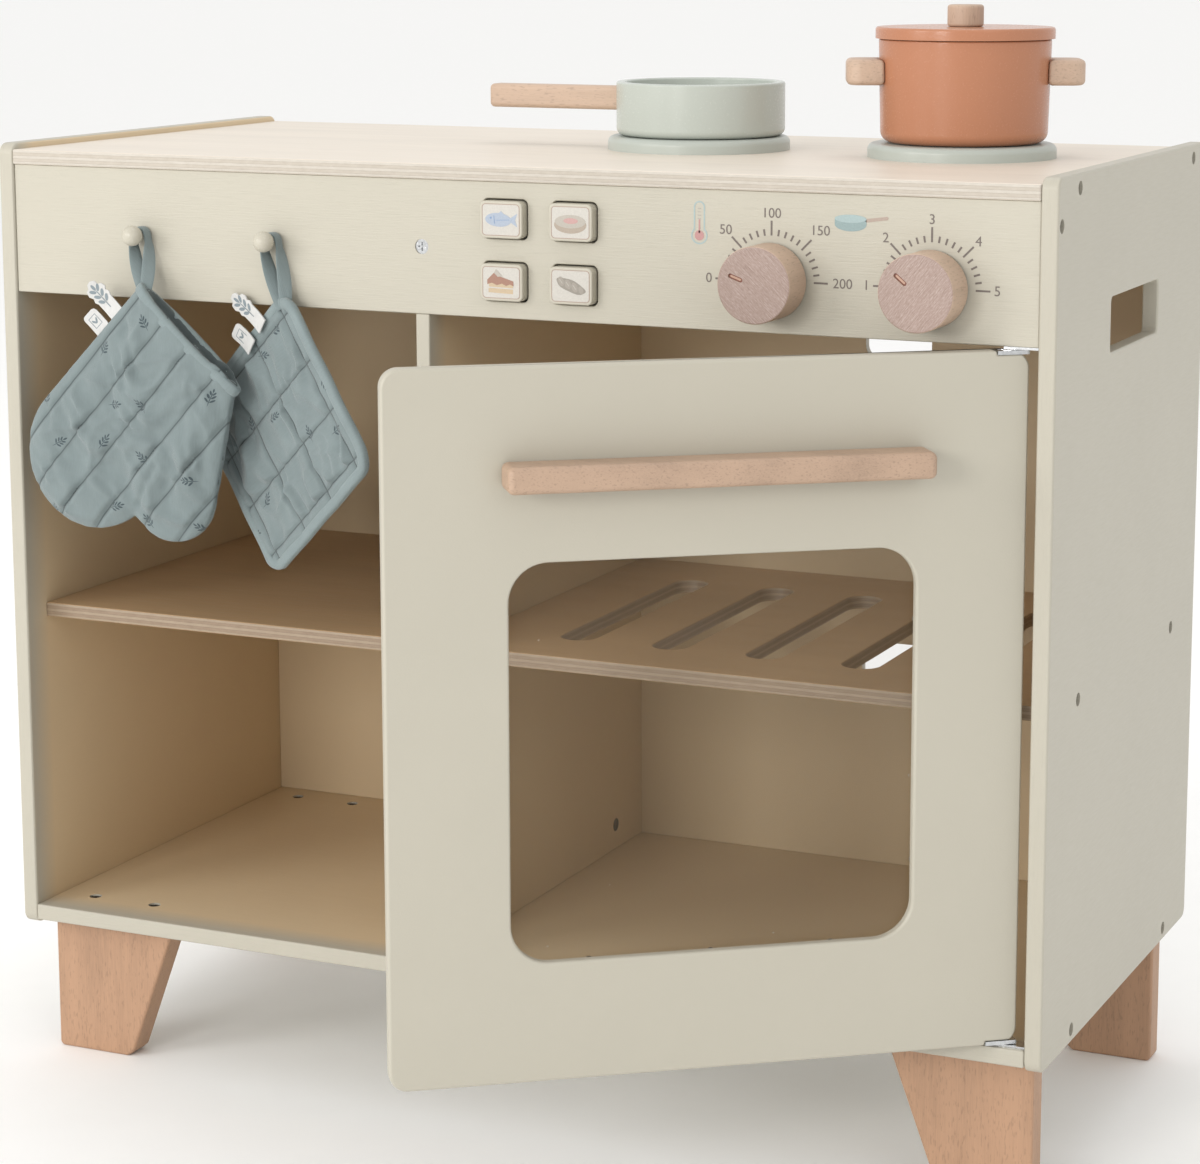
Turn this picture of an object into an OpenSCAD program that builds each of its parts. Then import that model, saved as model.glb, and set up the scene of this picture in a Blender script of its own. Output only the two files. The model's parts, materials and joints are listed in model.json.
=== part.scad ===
// Toy kitchen: a plywood play cabinet on four board legs, with an open shelf compartment on the
// left, an oven with a hinged window door on the right, a control panel with four push buttons and
// two turning knobs, two hob rings, a saucepan, a lidded pot, and a mitt and a pot holder on hooks.
// Millimetres. +X to the right, +Y to the back, +Z up. The floor is z = 0 and the origin is the
// middle of the whole object's outline on the floor, with the door standing open.

/* [Cabinet] */
// Width over the two side panels
cab_w = 600; // [580:1:640]
// Depth of the side panels
cab_d = 280; // [270:1:310]
// Height of the side panels
side_h = 442; // [430:1:460]
// Height from the floor to the side panels
leg_h = 78; // [60:1:100]
// Thickness of the side panels
side_t = 9; // [8:0.5:10]
// Thickness of the worktop, the divider and the shelves
board_t = 8; // [7:0.5:8]
// Thickness of the bottom panel
floor_t = 9; // [8:0.5:10]
// Thickness of the back panel
back_t = 6; // [4:0.5:8]
// Width inside the open compartment on the left
open_w = 247; // [240:1:255]
// Height of the control panel
control_h = 70; // [70:1:74]
// Height of the two shelves' top faces above the floor
shelf_z = 261; // [240:1:280]
// Radius on the side panels' corners
corner_r = 6; // [3:0.5:10]

/* [Oven door] */
// Angle at which the door stands open
door_open = 36.6; // [0:0.1:90]
// Width of the door
door_w = 312; // [300:1:314]
// Thickness of the door
door_t = 9; // [9:0.5:10]
// Width of the window
window_w = 198; // [160:1:220]
// Height of the window
window_h = 194; // [150:1:210]
// Height of the window's centre above the floor
window_z = 247; // [230:1:260]
// Length of the handle bar
handle_l = 205; // [150:1:240]
// Height of the handle bar
handle_h = 13; // [10:0.5:18]
// How far the handle bar stands off the door
handle_d = 21; // [14:0.5:28]

/* [Controls] */
// Diameter of each knob
knob_d = 38; // [30:0.5:42]
// Length of each knob
knob_l = 22.6; // [14:0.1:26]
// Direction of the temperature knob's mark, anticlockwise from the right
temperature_mark = 160; // [0:1:360]
// Direction of the hob knob's mark, anticlockwise from the right
hob_mark = 140; // [0:1:360]
// Width of each push button
button_w = 24; // [18:0.5:26]
// Height of each push button
button_h = 19; // [14:0.5:20]
// How far each button stands out of the panel
button_proud = 5; // [3.5:0.1:6]

/* [Hob and pans] */
// Diameter of each hob ring
ring_d = 99.5; // [90:0.5:110]
// Thickness of each hob ring
ring_t = 7.5; // [6:0.5:10]
// Outer diameter of the saucepan
pan_d = 92; // [80:0.5:96]
// Height of the saucepan
pan_h = 29; // [24:0.5:40]
// Length of the saucepan's handle
pan_handle_l = 80; // [50:1:100]
// Outer diameter of the pot at its rim
pot_d = 90.5; // [80:0.5:96]
// Height of the pot without its lid
pot_h = 54; // [40:0.5:70]
// Diameter of the pot's lid
lid_d = 94; // [92:0.5:100]

/* [Textiles] */
// Thickness of the oven mitt
mitt_t = 16.5; // [14:0.5:16.5]
// Side of the square pot holder
holder_side = 110; // [100:1:115]
// Thickness of the pot holder
holder_t = 5; // [4:0.5:6]
// Turn of the hanging pot holder about the vertical
holder_turn = 23; // [15:1:26]

/* [Hidden] */
$fn = 64;

// Clearances
gap = 0.3;            // between pieces that move past each other
run = 0.05;           // radial clearance of a pin or shaft in its bore
eps = 0.01;           // overlap that keeps a cut from leaving a skin

// Cabinet, all set back from the side panels' front edges or down from their tops
worktop_drop = 3.3;   // side panels stand this far above the worktop
bottom_rise = 2.5;    // bottom panel sits this far above the side panels' lower edges
control_back = 1.5;   // control panel and divider set back from the front
rack_back = 14;       // oven rack set back from the front
shelf_back = 18;      // left shelf set back from the front
panel_back = 4;       // back panel set in from the rear
pivot_back = 5.5;     // door pivot behind the front
pivot_side = 12.5;    // door pivot from the right side panel
pivot_in = 5.5;       // door pivot from the door's own edge

// The door's free corner is the object's foremost point
door_reach = (door_w - pivot_in) * sin(door_open) + door_t / 2 * cos(door_open) - pivot_back;
front_y = -(cab_d - door_reach) / 2;
back_y = front_y + cab_d;
mid_y = front_y + cab_d / 2;

inner_x = cab_w / 2 - side_t;
side_top = leg_h + side_h;
top_z1 = side_top - worktop_drop;
top_z0 = top_z1 - board_t;
bottom_z0 = leg_h + bottom_rise;
bottom_z1 = bottom_z0 + floor_t;
control_z0 = top_z0 - control_h;
control_y = front_y + control_back;
control_mid = (control_z0 + top_z0) / 2;
divider_x0 = -inner_x + open_w;
divider_x1 = divider_x0 + board_t;
back_y0 = back_y - panel_back - back_t;
shelf_mid = shelf_z - board_t / 2;

// Screws and dowels
screw_r = 1.75;
screw_head_r = 3.5;
screw_head_h = 2;
screw_sink = 2;       // depth of the head below the face
screw_l = 30;
dowel_r = 2.5;
dowel_in = 12;
top_screw_ys = [front_y + 35, front_y + 252];
shelf_screw_ys = [front_y + 51, front_y + 230];
bottom_screw_ys = [front_y + 52, front_y + 231];
control_screw_y = control_y + board_t / 2;
control_screw_z = top_z0 - 12;
side_screw_spots = concat(
    [for (y = top_screw_ys) [y, top_z1 - board_t / 2]],
    [for (y = shelf_screw_ys) [y, shelf_mid]],
    [for (y = bottom_screw_ys) [y, bottom_z0 + floor_t / 2]],
    [[control_screw_y, control_screw_z]]);

// Hand holes and the cut-outs in the back panel
hand_w = 90;
hand_h = 28;
hand_z = side_top - 80.5;
hand_r = 3;
vent_w = 40;
vent_h = 30;
vent_r = 8;
vent_x = 126;
vent_zs = [shelf_z + 144, shelf_z - 53];

// Rack slots
slot_w = 20;
slot_l = 170;
slot_pitch = 53.5;
slot_y0 = front_y + 53;
rack_mid = (divider_x1 + inner_x) / 2;
slot_xs = [for (i = [-2:2]) rack_mid + i * slot_pitch];

// Legs: boards across the front, upright outside and slanted inside
leg_t = 16;
leg_top_w = 79;
leg_foot_w = 49;
leg_round = 3;
leg_front_y = front_y + 18;
leg_rear_y = back_y - 18 - leg_t;
leg_screw_in = [22, 61.5];

// Hob rings
ring_round = 3.5;
ring_y = front_y + 157;
ring_xs = [49, 199.5];

// Hooks
hook_xs = [-208, -127];
hook_z = control_mid;
hook_ball_r = 5.5;
hook_neck_r = 2.5;
hook_ball_y = control_y - 12.5;

// Buttons and their housing
button_xs = [8.2, 47.2];
button_zs = [control_mid + 16, control_mid - 16];
button_r = 3;
button_slack = 0.7;
button_travel = 3;
flange_extra = 2.25;
flange_t = 1.5;
housing_wall = 2;
housing_d = 18;
housing_ear = 9;
spring_r = 3.1;
spring_wire = 0.45;
spring_l = 10.5;
spring_turns = 6;

// Knobs
knob_xs = [154, 236.8];
knob_z = control_z0 + 26;
knob_screw_r = 2;
knob_screw_in = 14;
mark_l = 8;
mark_w = 2.3;
mark_from = 6;
mark_deep = 1;

// Door, drawn closed about its pivot and then turned to its open angle
pivot_x = inner_x - pivot_side;
pivot_y = front_y + pivot_back;
door_z0 = bottom_z1 + 1.5;
door_z1 = control_z0 - 1.5;
door_r = 9;
door_mid = pivot_in - door_w / 2 + 2;
window_r = 19;
rebate = 6;
rebate_deep = 3;
pane_t = 2;
pin_r = 1.5;
pin_in = 13;
plate_t = 1.2;
plate_w = 7;
leaf_t = 2;
leaf_l = 16;
leaf_screw_x = -7.8;
small_screw_r = 1.1;
small_head_r = 2.2;
handle_z = 386.5;
handle_screw_xs = [door_mid - 70, door_mid + 70];

// Pans
pan_wall = 5;
pan_floor = 4;
pan_round = 4;
pan_z = top_z1 + ring_t + gap;
pan_handle_z = pan_z + 19;
pan_handle_s = 13;
pot_wall = 4;
pot_foot_d = 88;
pot_round = 6;
pot_turn = 22;         // the pot stands turned, its handles not quite along the front
pot_handle_l = 17;
pot_handle_w = 32;
pot_handle_h = 13.5;
pot_handle_z = pan_z + 37;
lid_t = 6;
lid_spigot = 4;
lid_z = pan_z + pot_h + gap;
lid_knob_d = 19;
lid_knob_h = 11.5;

// Textiles
strap_t = 1.6;
strap_w = 6.5;
strap_y = control_y - gap * 2 - strap_w;
loop_w = 9;
loop_l = 36;
mitt_y1 = strap_y;
mitt_cuff = [[-200, 448], [-142.5, 396]];
mitt_wall = 5;
holder_round = 12;
holder_tilt = 40.3;
holder_c = [-122, front_y - 5, 371];

// ---- shapes that repeat -------------------------------------------------------------------

// Rectangle with round corners, its lower left corner at the origin
module rounded(w, h, r) {
    translate([r, 0]) square([w - 2 * r, h]);
    translate([0, r]) square([w, h - 2 * r]);
    for (x = [r, w - r], y = [r, h - r]) translate([x, y]) circle(r);
}

// The same, centred
module rounded_mid(w, h, r) {
    translate([-w / 2, -h / 2]) rounded(w, h, r);
}

// Extrudes a drawing of X and Z towards the back, from y to y + t
module upright(y, t) {
    translate([0, y + t, 0]) rotate([90, 0, 0]) linear_extrude(t) children();
}

// Extrudes a drawing of Y and Z to the right, from x to x + t
module sideways(x, t) {
    translate([x, 0, 0]) rotate([90, 0, 90]) linear_extrude(t) children();
}

// Plain board between two corners
module board(a, b) {
    translate(a) cube(b - a);
}

// Rod along +X, +Y or +Z from a point
module rod_x(p, l, r) {
    translate(p) rotate([0, 90, 0]) cylinder(h = l, r = r);
}

module rod_y(p, l, r) {
    translate(p) rotate([-90, 0, 0]) cylinder(h = l, r = r);
}

module rod_z(p, l, r) {
    translate(p) cylinder(h = l, r = r);
}

// Screw along +Z: a cross-slotted head on the origin and a plain shank
module screw(l, r, head_r, head_h) {
    difference() {
        union() {
            cylinder(h = head_h, r = head_r);
            cylinder(h = l, r = r);
        }
        for (a = [0, 90]) rotate([0, 0, a]) {
            translate([-head_r * 0.6, -head_r * 0.11, -eps])
                cube([head_r * 1.2, head_r * 0.22, head_h * 0.6]);
        }
    }
}

// The hole that such a screw fills, open towards -Z by the depth the head is sunk
module screw_hole(l, r, head_r, head_h, sink) {
    translate([0, 0, -sink]) cylinder(h = sink + head_h, r = head_r);
    cylinder(h = l, r = r);
}

// Puts a drawing made along +Z at each fixing of the side panel on side s, pointing inwards
module at_side_screws(s, in) {
    for (p = side_screw_spots)
        translate([s * (cab_w / 2 - in), p[0], p[1]]) rotate([0, -s * 90, 0]) children();
}

module side_screw_holes(s) {
    at_side_screws(s, screw_sink)
        screw_hole(screw_l, screw_r, screw_head_r, screw_head_h, screw_sink + eps);
}

module shelf_dowel_rods() {
    for (y = shelf_screw_ys) rod_x([divider_x0 - dowel_in, y, shelf_mid], board_t + 2 * dowel_in, dowel_r);
    for (y = top_screw_ys) rod_z([divider_x0 + board_t / 2, y, top_z0 - dowel_in], dowel_in + 5, dowel_r);
}

// ---- cabinet ------------------------------------------------------------------------------

module side_panel(s) {
    color("#ddd2c0") difference() {
        sideways(s > 0 ? inner_x : -cab_w / 2, side_t) difference() {
            translate([front_y, leg_h]) rounded(cab_d, side_h, corner_r);
            translate([mid_y, hand_z]) rounded_mid(hand_w, hand_h, hand_r);
        }
        side_screw_holes(s);
    }
}

module worktop() {
    color("#ead9c4") difference() {
        board([-inner_x, front_y, top_z0], [inner_x, back_y, top_z1]);
        for (s = [-1, 1]) side_screw_holes(s);
        shelf_dowel_rods();
        at_ring_screws() cylinder(h = board_t + eps, r = screw_r);
    }
}

module control_panel() {
    color("#ddd2c0") difference() {
        upright(control_y, board_t) difference() {
            translate([-inner_x, control_z0]) square([2 * inner_x, control_h]);
            for (x = button_xs, z = button_zs) translate([x, z])
                rounded_mid(button_w + 2 * button_slack, button_h + 2 * button_slack, button_r);
        }
        for (x = knob_xs) rod_y([x, control_y - eps, knob_z], board_t + 1, knob_screw_r + run);
        for (x = hook_xs) rod_y([x, control_y - eps, hook_z], board_t + 1, hook_neck_r - 0.5);
        for (s = [-1, 1]) side_screw_holes(s);
        at_control_screw() screw_hole(screw_l, screw_r, screw_head_r + 0.4, screw_head_h, 1);
        at_housing_screws() cylinder(h = 5, r = small_screw_r);
        at_plate_screws() cylinder(h = 9, r = small_screw_r);
    }
}

// Upright board between the open compartment and the oven, notched round the control panel
module divider() {
    color("#ddd2c0") difference() {
        board([divider_x0, control_y, bottom_z1], [divider_x1, back_y0, top_z0]);
        board([divider_x0 - 1, control_y - 1, control_z0], [divider_x1 + 1, control_y + board_t, top_z0 + 1]);
        shelf_dowel_rods();
        at_control_screw() cylinder(h = screw_l, r = screw_r);
        at_divider_bolts() {
            translate([0, 0, -24]) cylinder(h = 24, r = 2);
            rotate([0, 90, 0]) cylinder(h = board_t + 1, r = 4, center = true);
        }
        at_back_screws() cylinder(h = 20, r = small_screw_r);
    }
}

module bottom_panel() {
    color("#ddd2c0") difference() {
        board([-inner_x, front_y, bottom_z0], [inner_x, back_y, bottom_z1]);
        for (s = [-1, 1]) side_screw_holes(s);
        at_leg_screws() screw_hole(screw_l, screw_r, screw_head_r, screw_head_h, 1);
        at_divider_bolts() translate([0, 0, -24]) cylinder(h = 24, r = 2);
        at_divider_bolts() translate([0, 0, -24]) cylinder(h = 3.5, r = 4);
        at_plate_screws() cylinder(h = 9, r = small_screw_r);
    }
}

module back_panel() {
    color("#d8ccb9") difference() {
        upright(back_y0, back_t) difference() {
            translate([-inner_x, bottom_z1]) square([2 * inner_x, top_z0 - bottom_z1]);
            for (z = vent_zs) translate([vent_x, z]) rounded_mid(vent_w, vent_h, vent_r);
        }
        at_back_screws() translate([0, 0, -eps]) cylinder(h = 20, r = small_screw_r);
    }
}

module left_shelf() {
    color("#ead9c4") difference() {
        board([-inner_x, front_y + shelf_back, shelf_z - board_t], [divider_x0, back_y0, shelf_z]);
        side_screw_holes(-1);
        shelf_dowel_rods();
        at_back_screws() cylinder(h = 20, r = small_screw_r);
    }
}

module oven_rack() {
    color("#ead9c4") difference() {
        board([divider_x1, front_y + rack_back, shelf_z - board_t], [inner_x, back_y0, shelf_z]);
        for (x = slot_xs) translate([x - slot_w / 2, slot_y0, shelf_z - board_t - 1])
            linear_extrude(board_t + 2) rounded(slot_w, slot_l, slot_w / 2 - eps);
        side_screw_holes(1);
        shelf_dowel_rods();
        at_back_screws() cylinder(h = 20, r = small_screw_r);
    }
}

// Outline of a leg whose upright side is at x = 0 and whose slant faces +X
module leg_outline() {
    slope = (leg_top_w - leg_foot_w) / bottom_z0;
    difference() {
        polygon([[0, 0], [leg_foot_w, 0], [leg_top_w, bottom_z0], [0, bottom_z0]]);
        difference() {
            square(leg_round);
            translate([leg_round, leg_round]) circle(leg_round);
        }
        translate([leg_foot_w - leg_round, -1]) polygon([[0, 0], [leg_round * 2, 0],
            [leg_round * 2, leg_round + 1 + slope * leg_round], [leg_round + slope, leg_round + 1], [0, 1]]);
    }
}

module leg(s, y) {
    color("#c69a76") difference() {
        upright(y, leg_t) translate([s * inner_x, 0]) mirror([s > 0 ? 1 : 0, 0]) leg_outline();
        at_leg_screws() cylinder(h = screw_l + eps, r = screw_r);
    }
}

// ---- fastenings ---------------------------------------------------------------------------

module at_leg_screws() {
    for (s = [-1, 1], y = [leg_front_y, leg_rear_y], d = leg_screw_in)
        translate([s * (inner_x - d), y + leg_t / 2, bottom_z1 - 1]) mirror([0, 0, 1]) children();
}

// Each spot is where a bolt from below meets its barrel nut in the divider
module at_divider_bolts() {
    for (y = [front_y + 48, front_y + 232])
        translate([divider_x0 + board_t / 2, y, bottom_z0 + 24]) children();
}

module at_back_screws() {
    spots = concat(
        [for (z = [150, 330, 470]) [divider_x0 + board_t / 2, z]],
        [for (x = [-230, -110, 20, 235]) [x, shelf_mid]]);
    for (p = spots) translate([p[0], back_y0 + back_t, p[1]]) rotate([90, 0, 0]) children();
}

module at_control_screw() {
    translate([divider_x0 + board_t / 2, control_y + 0.6, control_mid]) rotate([-90, 0, 0]) children();
}

module at_ring_screws() {
    for (x = ring_xs, d = [-22, 22]) translate([x + d, ring_y, top_z0]) children();
}

module at_housing_screws() {
    x0 = button_xs[0] - housing_half_w() - housing_ear / 2;
    x1 = button_xs[1] + housing_half_w() + housing_ear / 2;
    for (x = [x0, x1], z = [control_mid - 20, control_mid + 20])
        translate([x, control_y + board_t, z]) rotate([90, 0, 0]) children();
}

// The screws that hold the two fixed hinge plates, both pointing away from the door
module at_plate_screws() {
    translate([inner_x - 4.5, pivot_y, control_z0 - plate_t]) children();
    translate([inner_x - 4.5, pivot_y, bottom_z1 + plate_t]) mirror([0, 0, 1]) children();
}

module side_screws() {
    color("#6d665f") for (s = [-1, 1]) at_side_screws(s, screw_sink)
        screw(screw_l, screw_r, screw_head_r, screw_head_h);
}

module leg_screws() {
    color("#6d665f") at_leg_screws() screw(screw_l, screw_r, screw_head_r, screw_head_h);
}

module back_screws() {
    color("#6d665f") at_back_screws() difference() {
        screw(20, small_screw_r, small_screw_r, 1);
        translate([0, 0, -2]) cube(4, center = true);
    }
}

module shelf_dowels() {
    color("#d9b48c") shelf_dowel_rods();
}

module divider_bolts() {
    color("#8b8d90") at_divider_bolts() {
        rotate([0, 90, 0]) cylinder(h = board_t - 0.5, r = 4, center = true);
        translate([0, 0, -24]) cylinder(h = 3.4, r = 4);
        translate([0, 0, -24]) cylinder(h = 24, r = 2);
    }
}

module control_panel_screw() {
    color("#c9ccd0") at_control_screw() screw(screw_l, screw_r, screw_head_r + 0.4, screw_head_h);
}

module hob_ring_screws() {
    color("#8b8d90") at_ring_screws() {
        translate([0, 0, -2]) cylinder(h = 2, r = screw_head_r);
        cylinder(h = board_t + 5, r = screw_r);
    }
}

module hinge_plate_screws() {
    color("#c9ccd0") at_plate_screws() {
        cylinder(h = plate_t * 0.6, r = small_head_r);
        cylinder(h = 9, r = small_screw_r);
    }
}

// ---- hob and hooks ------------------------------------------------------------------------

module hob_ring(x) {
    r = ring_d / 2;
    color("#b7c0b4") difference() {
        translate([x, ring_y, top_z1]) rotate_extrude($fn = 128) {
            square([r - ring_round, ring_t]);
            square([r, ring_t - ring_round]);
            translate([r - ring_round, ring_t - ring_round]) circle(ring_round);
        }
        at_ring_screws() cylinder(h = board_t + 5, r = screw_r);
    }
}

module hook(x) {
    color("#e6ddd0") translate([x, 0, hook_z]) {
        translate([0, hook_ball_y, 0]) sphere(hook_ball_r, $fn = 96);
        rod_y([0, hook_ball_y, 0], control_y - hook_ball_y, hook_neck_r);
        rod_y([0, hook_ball_y, 0], control_y - hook_ball_y + board_t, hook_neck_r - 0.5);
    }
}

// ---- hinges -------------------------------------------------------------------------------

// Fixed plate with its pin along +Z, drawn with its back face on z = 0
module hinge_plate() {
    difference() {
        translate([pivot_x - 5, pivot_y - plate_w / 2, 0])
            cube([inner_x - gap - pivot_x + 5, plate_w, plate_t]);
        translate([inner_x - 4.5, pivot_y, plate_t * 0.4]) cylinder(h = plate_t, r = small_head_r);
        translate([inner_x - 4.5, pivot_y, -1]) cylinder(h = plate_t + 2, r = small_screw_r);
    }
    rod_z([pivot_x, pivot_y, 0], plate_t + pin_in, pin_r);
}

module hinge_plate_top() {
    color("#c9ccd0") translate([0, 0, control_z0]) mirror([0, 0, 1]) hinge_plate();
}

module hinge_plate_bottom() {
    color("#c9ccd0") translate([0, 0, bottom_z1]) hinge_plate();
}

// Turns a door piece from its closed place to its open angle
module on_door() {
    translate([pivot_x, pivot_y, 0]) rotate([0, 0, door_open]) children();
}

module leaf_block() {
    translate([pivot_in - leaf_l, -door_t / 2, 0]) cube([leaf_l, door_t - 1, leaf_t]);
}

// Both ends of the door, with the drawing's +Z pointing into the door
module at_door_ends() {
    translate([0, 0, door_z0]) children();
    translate([0, 0, door_z1]) mirror([0, 0, 1]) children();
}

module hinge_leaves() {
    color("#c9ccd0") on_door() at_door_ends() difference() {
        leaf_block();
        translate([0, 0, -1]) cylinder(h = 4, r = pin_r + run);
        translate([leaf_screw_x, 0, -1]) cylinder(h = 4, r = small_screw_r);
        translate([leaf_screw_x, 0, -eps]) cylinder(h = 1, r = small_head_r);
    }
}

module hinge_leaf_screws() {
    color("#c9ccd0") on_door() at_door_ends() translate([leaf_screw_x, 0, 0]) {
        translate([0, 0, 0.2]) cylinder(h = 0.79, r = small_head_r);
        translate([0, 0, 0.2]) cylinder(h = 12, r = small_screw_r);
    }
}

// ---- door ---------------------------------------------------------------------------------

module at_pane_screws() {
    half_w = window_w / 2 + rebate / 2;
    half_h = window_h / 2 + rebate / 2;
    spots = concat(
        [for (x = [-60, 0, 60], s = [-1, 1]) [x, s * half_h]],
        [for (z = [-60, 60], s = [-1, 1]) [s * half_w, z]]);
    for (p = spots) translate([door_mid + p[0], door_t / 2 - 1, window_z + p[1]]) rotate([90, 0, 0]) children();
}

module at_handle_screws() {
    for (x = handle_screw_xs) translate([x, door_t / 2, handle_z]) rotate([90, 0, 0]) children();
}

module door_panel() {
    color("#ddd2c0") on_door() difference() {
        upright(-door_t / 2, door_t) difference() {
            translate([pivot_in - door_w, door_z0]) rounded(door_w, door_z1 - door_z0, door_r);
            translate([door_mid, window_z]) rounded_mid(window_w, window_h, window_r);
        }
        upright(door_t / 2 - rebate_deep, rebate_deep + 1) translate([door_mid, window_z])
            rounded_mid(window_w + 2 * rebate, window_h + 2 * rebate, window_r + rebate);
        at_pane_screws() cylinder(h = 6, r = small_screw_r);
        at_handle_screws() translate([0, 0, -1]) cylinder(h = door_t + 2, r = screw_r);
        at_handle_screws() translate([0, 0, -eps]) cylinder(h = screw_head_h, r = screw_head_r);
        at_door_ends() {
            leaf_block();
            cylinder(h = pin_in + 2, r = pin_r + run);
            translate([leaf_screw_x, 0, 0]) cylinder(h = 12.3, r = small_screw_r + run);
        }
    }
}

module window_pane() {
    w = window_w + 2 * rebate - 0.6;
    h = window_h + 2 * rebate - 0.6;
    color("#e8ecea", 0.35) on_door() difference() {
        upright(door_t / 2 - rebate_deep, pane_t) translate([door_mid, window_z])
            rounded_mid(w, h, window_r + rebate - 0.3);
        at_pane_screws() cylinder(h = 6, r = small_screw_r);
    }
}

module pane_screws() {
    color("#c9ccd0") on_door() at_pane_screws() {
        translate([0, 0, -0.9]) cylinder(h = 0.9, r = small_head_r);
        cylinder(h = 6, r = small_screw_r);
    }
}

module door_handle() {
    color("#dcb48f") on_door() difference() {
        translate([door_mid - handle_l / 2, -door_t / 2 - handle_d, handle_z - handle_h / 2])
            cube([handle_l, handle_d, handle_h]);
        at_handle_screws() cylinder(h = 25, r = screw_r);
    }
}

module door_handle_screws() {
    color("#8b8d90") on_door() at_handle_screws() screw(25, screw_r, screw_head_r, screw_head_h - eps);
}

// ---- controls -----------------------------------------------------------------------------

function housing_half_w() = button_w / 2 + flange_extra + 1 + housing_wall;
function housing_half_h() = 16 + button_h / 2 + flange_extra + 1 + housing_wall;

// Cap with a flange behind the panel that keeps it from falling out
module button(x, z) {
    color("#e9e2d6") translate([x, 0, z]) {
        upright(control_y - button_proud, button_proud + board_t + gap) rounded_mid(button_w, button_h, button_r);
        upright(control_y + board_t + gap, flange_t)
            rounded_mid(button_w + 2 * flange_extra, button_h + 2 * flange_extra, button_r);
    }
}

module button_housing() {
    x0 = button_xs[0] - housing_half_w();
    x1 = button_xs[1] + housing_half_w();
    z0 = control_mid - housing_half_h();
    z1 = control_mid + housing_half_h();
    y0 = control_y + board_t;
    y1 = y0 + housing_d;
    color("#e4e0d8") difference() {
        union() {
            board([x0, y0, z0], [x1, y1, z1]);
            board([x0 - housing_ear, y0, z0 + 4], [x1 + housing_ear, y0 + housing_wall, z1 - 4]);
        }
        board([x0 + housing_wall, y0 - 1, z0 + housing_wall], [x1 - housing_wall, y1 - housing_wall, z1 - housing_wall]);
        at_housing_screws() translate([0, 0, -housing_wall - 1]) cylinder(h = 4, r = small_screw_r);
    }
    color("#e4e0d8") at_springs() cylinder(h = 6, r = 1.6);
}

module button_housing_screws() {
    color("#8b8d90") at_housing_screws() {
        translate([0, 0, -housing_wall - 1]) cylinder(h = 1, r = small_head_r);
        translate([0, 0, -housing_wall]) cylinder(h = housing_wall + 5, r = small_screw_r);
    }
}

// Foot of each spring on the housing's rear wall, with +Z towards the button
module at_springs() {
    for (x = button_xs, z = button_zs)
        translate([x, control_y + board_t + housing_d - housing_wall, z]) rotate([90, 0, 0]) children();
}

// Coil of round wire: a tube swept along a helix
module coil(r, wire, l, turns) {
    sides = 6;
    steps = turns * 12;
    rise = l - 2 * wire;
    points = [for (i = [0:steps], k = [0:sides - 1])
        let (a = 360 * turns * i / steps, b = 360 * k / sides, d = r + wire * cos(b))
        [d * cos(a), d * sin(a), wire + rise * i / steps + wire * sin(b)]];
    walls = [for (i = [0:steps - 1], k = [0:sides - 1])
        let (n = (k + 1) % sides)
        [i * sides + k, (i + 1) * sides + k, (i + 1) * sides + n, i * sides + n]];
    start = [for (k = [0:sides - 1]) k];
    end = [for (k = [sides - 1:-1:0]) steps * sides + k];
    polyhedron(points, concat(walls, [start], [end]));
}

module button_springs() {
    color("#b9bcc0") at_springs() translate([0, 0, 0.1]) coil(spring_r, spring_wire, spring_l, spring_turns);
}

module knob(x, mark_angle) {
    y0 = control_y - gap - 0.8 - knob_l;
    color("#d9b48c") difference() {
        rod_y([x, y0, knob_z], knob_l, knob_d / 2, $fn = 128);
        rod_y([x, y0 + knob_l - knob_screw_in, knob_z], knob_screw_in + 1, knob_screw_r);
        translate([x, y0 + mark_deep, knob_z]) rotate([90, 0, 0]) rotate([0, 0, mark_angle])
            translate([mark_from, -mark_w / 2, 0]) linear_extrude(mark_deep + 1) rounded(mark_l, mark_w, mark_w / 2 - eps);
    }
}

// Screw that the knob turns with, and the washers in front of the panel and behind it
module knob_screw(x) {
    y0 = control_y - gap - 0.8;
    y1 = control_y + board_t + gap;
    color("#8b8d90") {
        rod_y([x, y0 - knob_screw_in, knob_z], y1 - y0 + knob_screw_in + 3, knob_screw_r);
        rod_y([x, y0, knob_z], 0.8, 8);
        rod_y([x, y1, knob_z], 1, 6);
        rod_y([x, y1, knob_z], 3, 4);
    }
}

// ---- pans ---------------------------------------------------------------------------------

// Half outline of an open vessel: foot radius a, rim radius b, height h, wall t, floor f, round r
module vessel(a, b, h, t, f, r) {
    rotate_extrude($fn = 128) difference() {
        union() {
            polygon([[0, 0], [a - r, 0], [a - r, r], [a, r], [b, h], [0, h]]);
            translate([a - r, r]) intersection() {
                circle(r);
                translate([0, -r]) square(r);
            }
        }
        polygon([[-1, f], [a - t, f], [b - t, h + 1], [-1, h + 1]]);
    }
}

module at_pan_screw() {
    translate([ring_xs[0] + 1 - pan_d / 2 + pan_wall, ring_y, pan_handle_z]) rotate([0, -90, 0]) children();
}

module pan_body() {
    color("#bac3b8") difference() {
        translate([ring_xs[0] + 1, ring_y, pan_z]) vessel(pan_d / 2, pan_d / 2, pan_h, pan_wall, pan_floor, pan_round);
        at_pan_screw() translate([0, 0, -1]) cylinder(h = pan_wall + 2, r = screw_r);
    }
}

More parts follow.
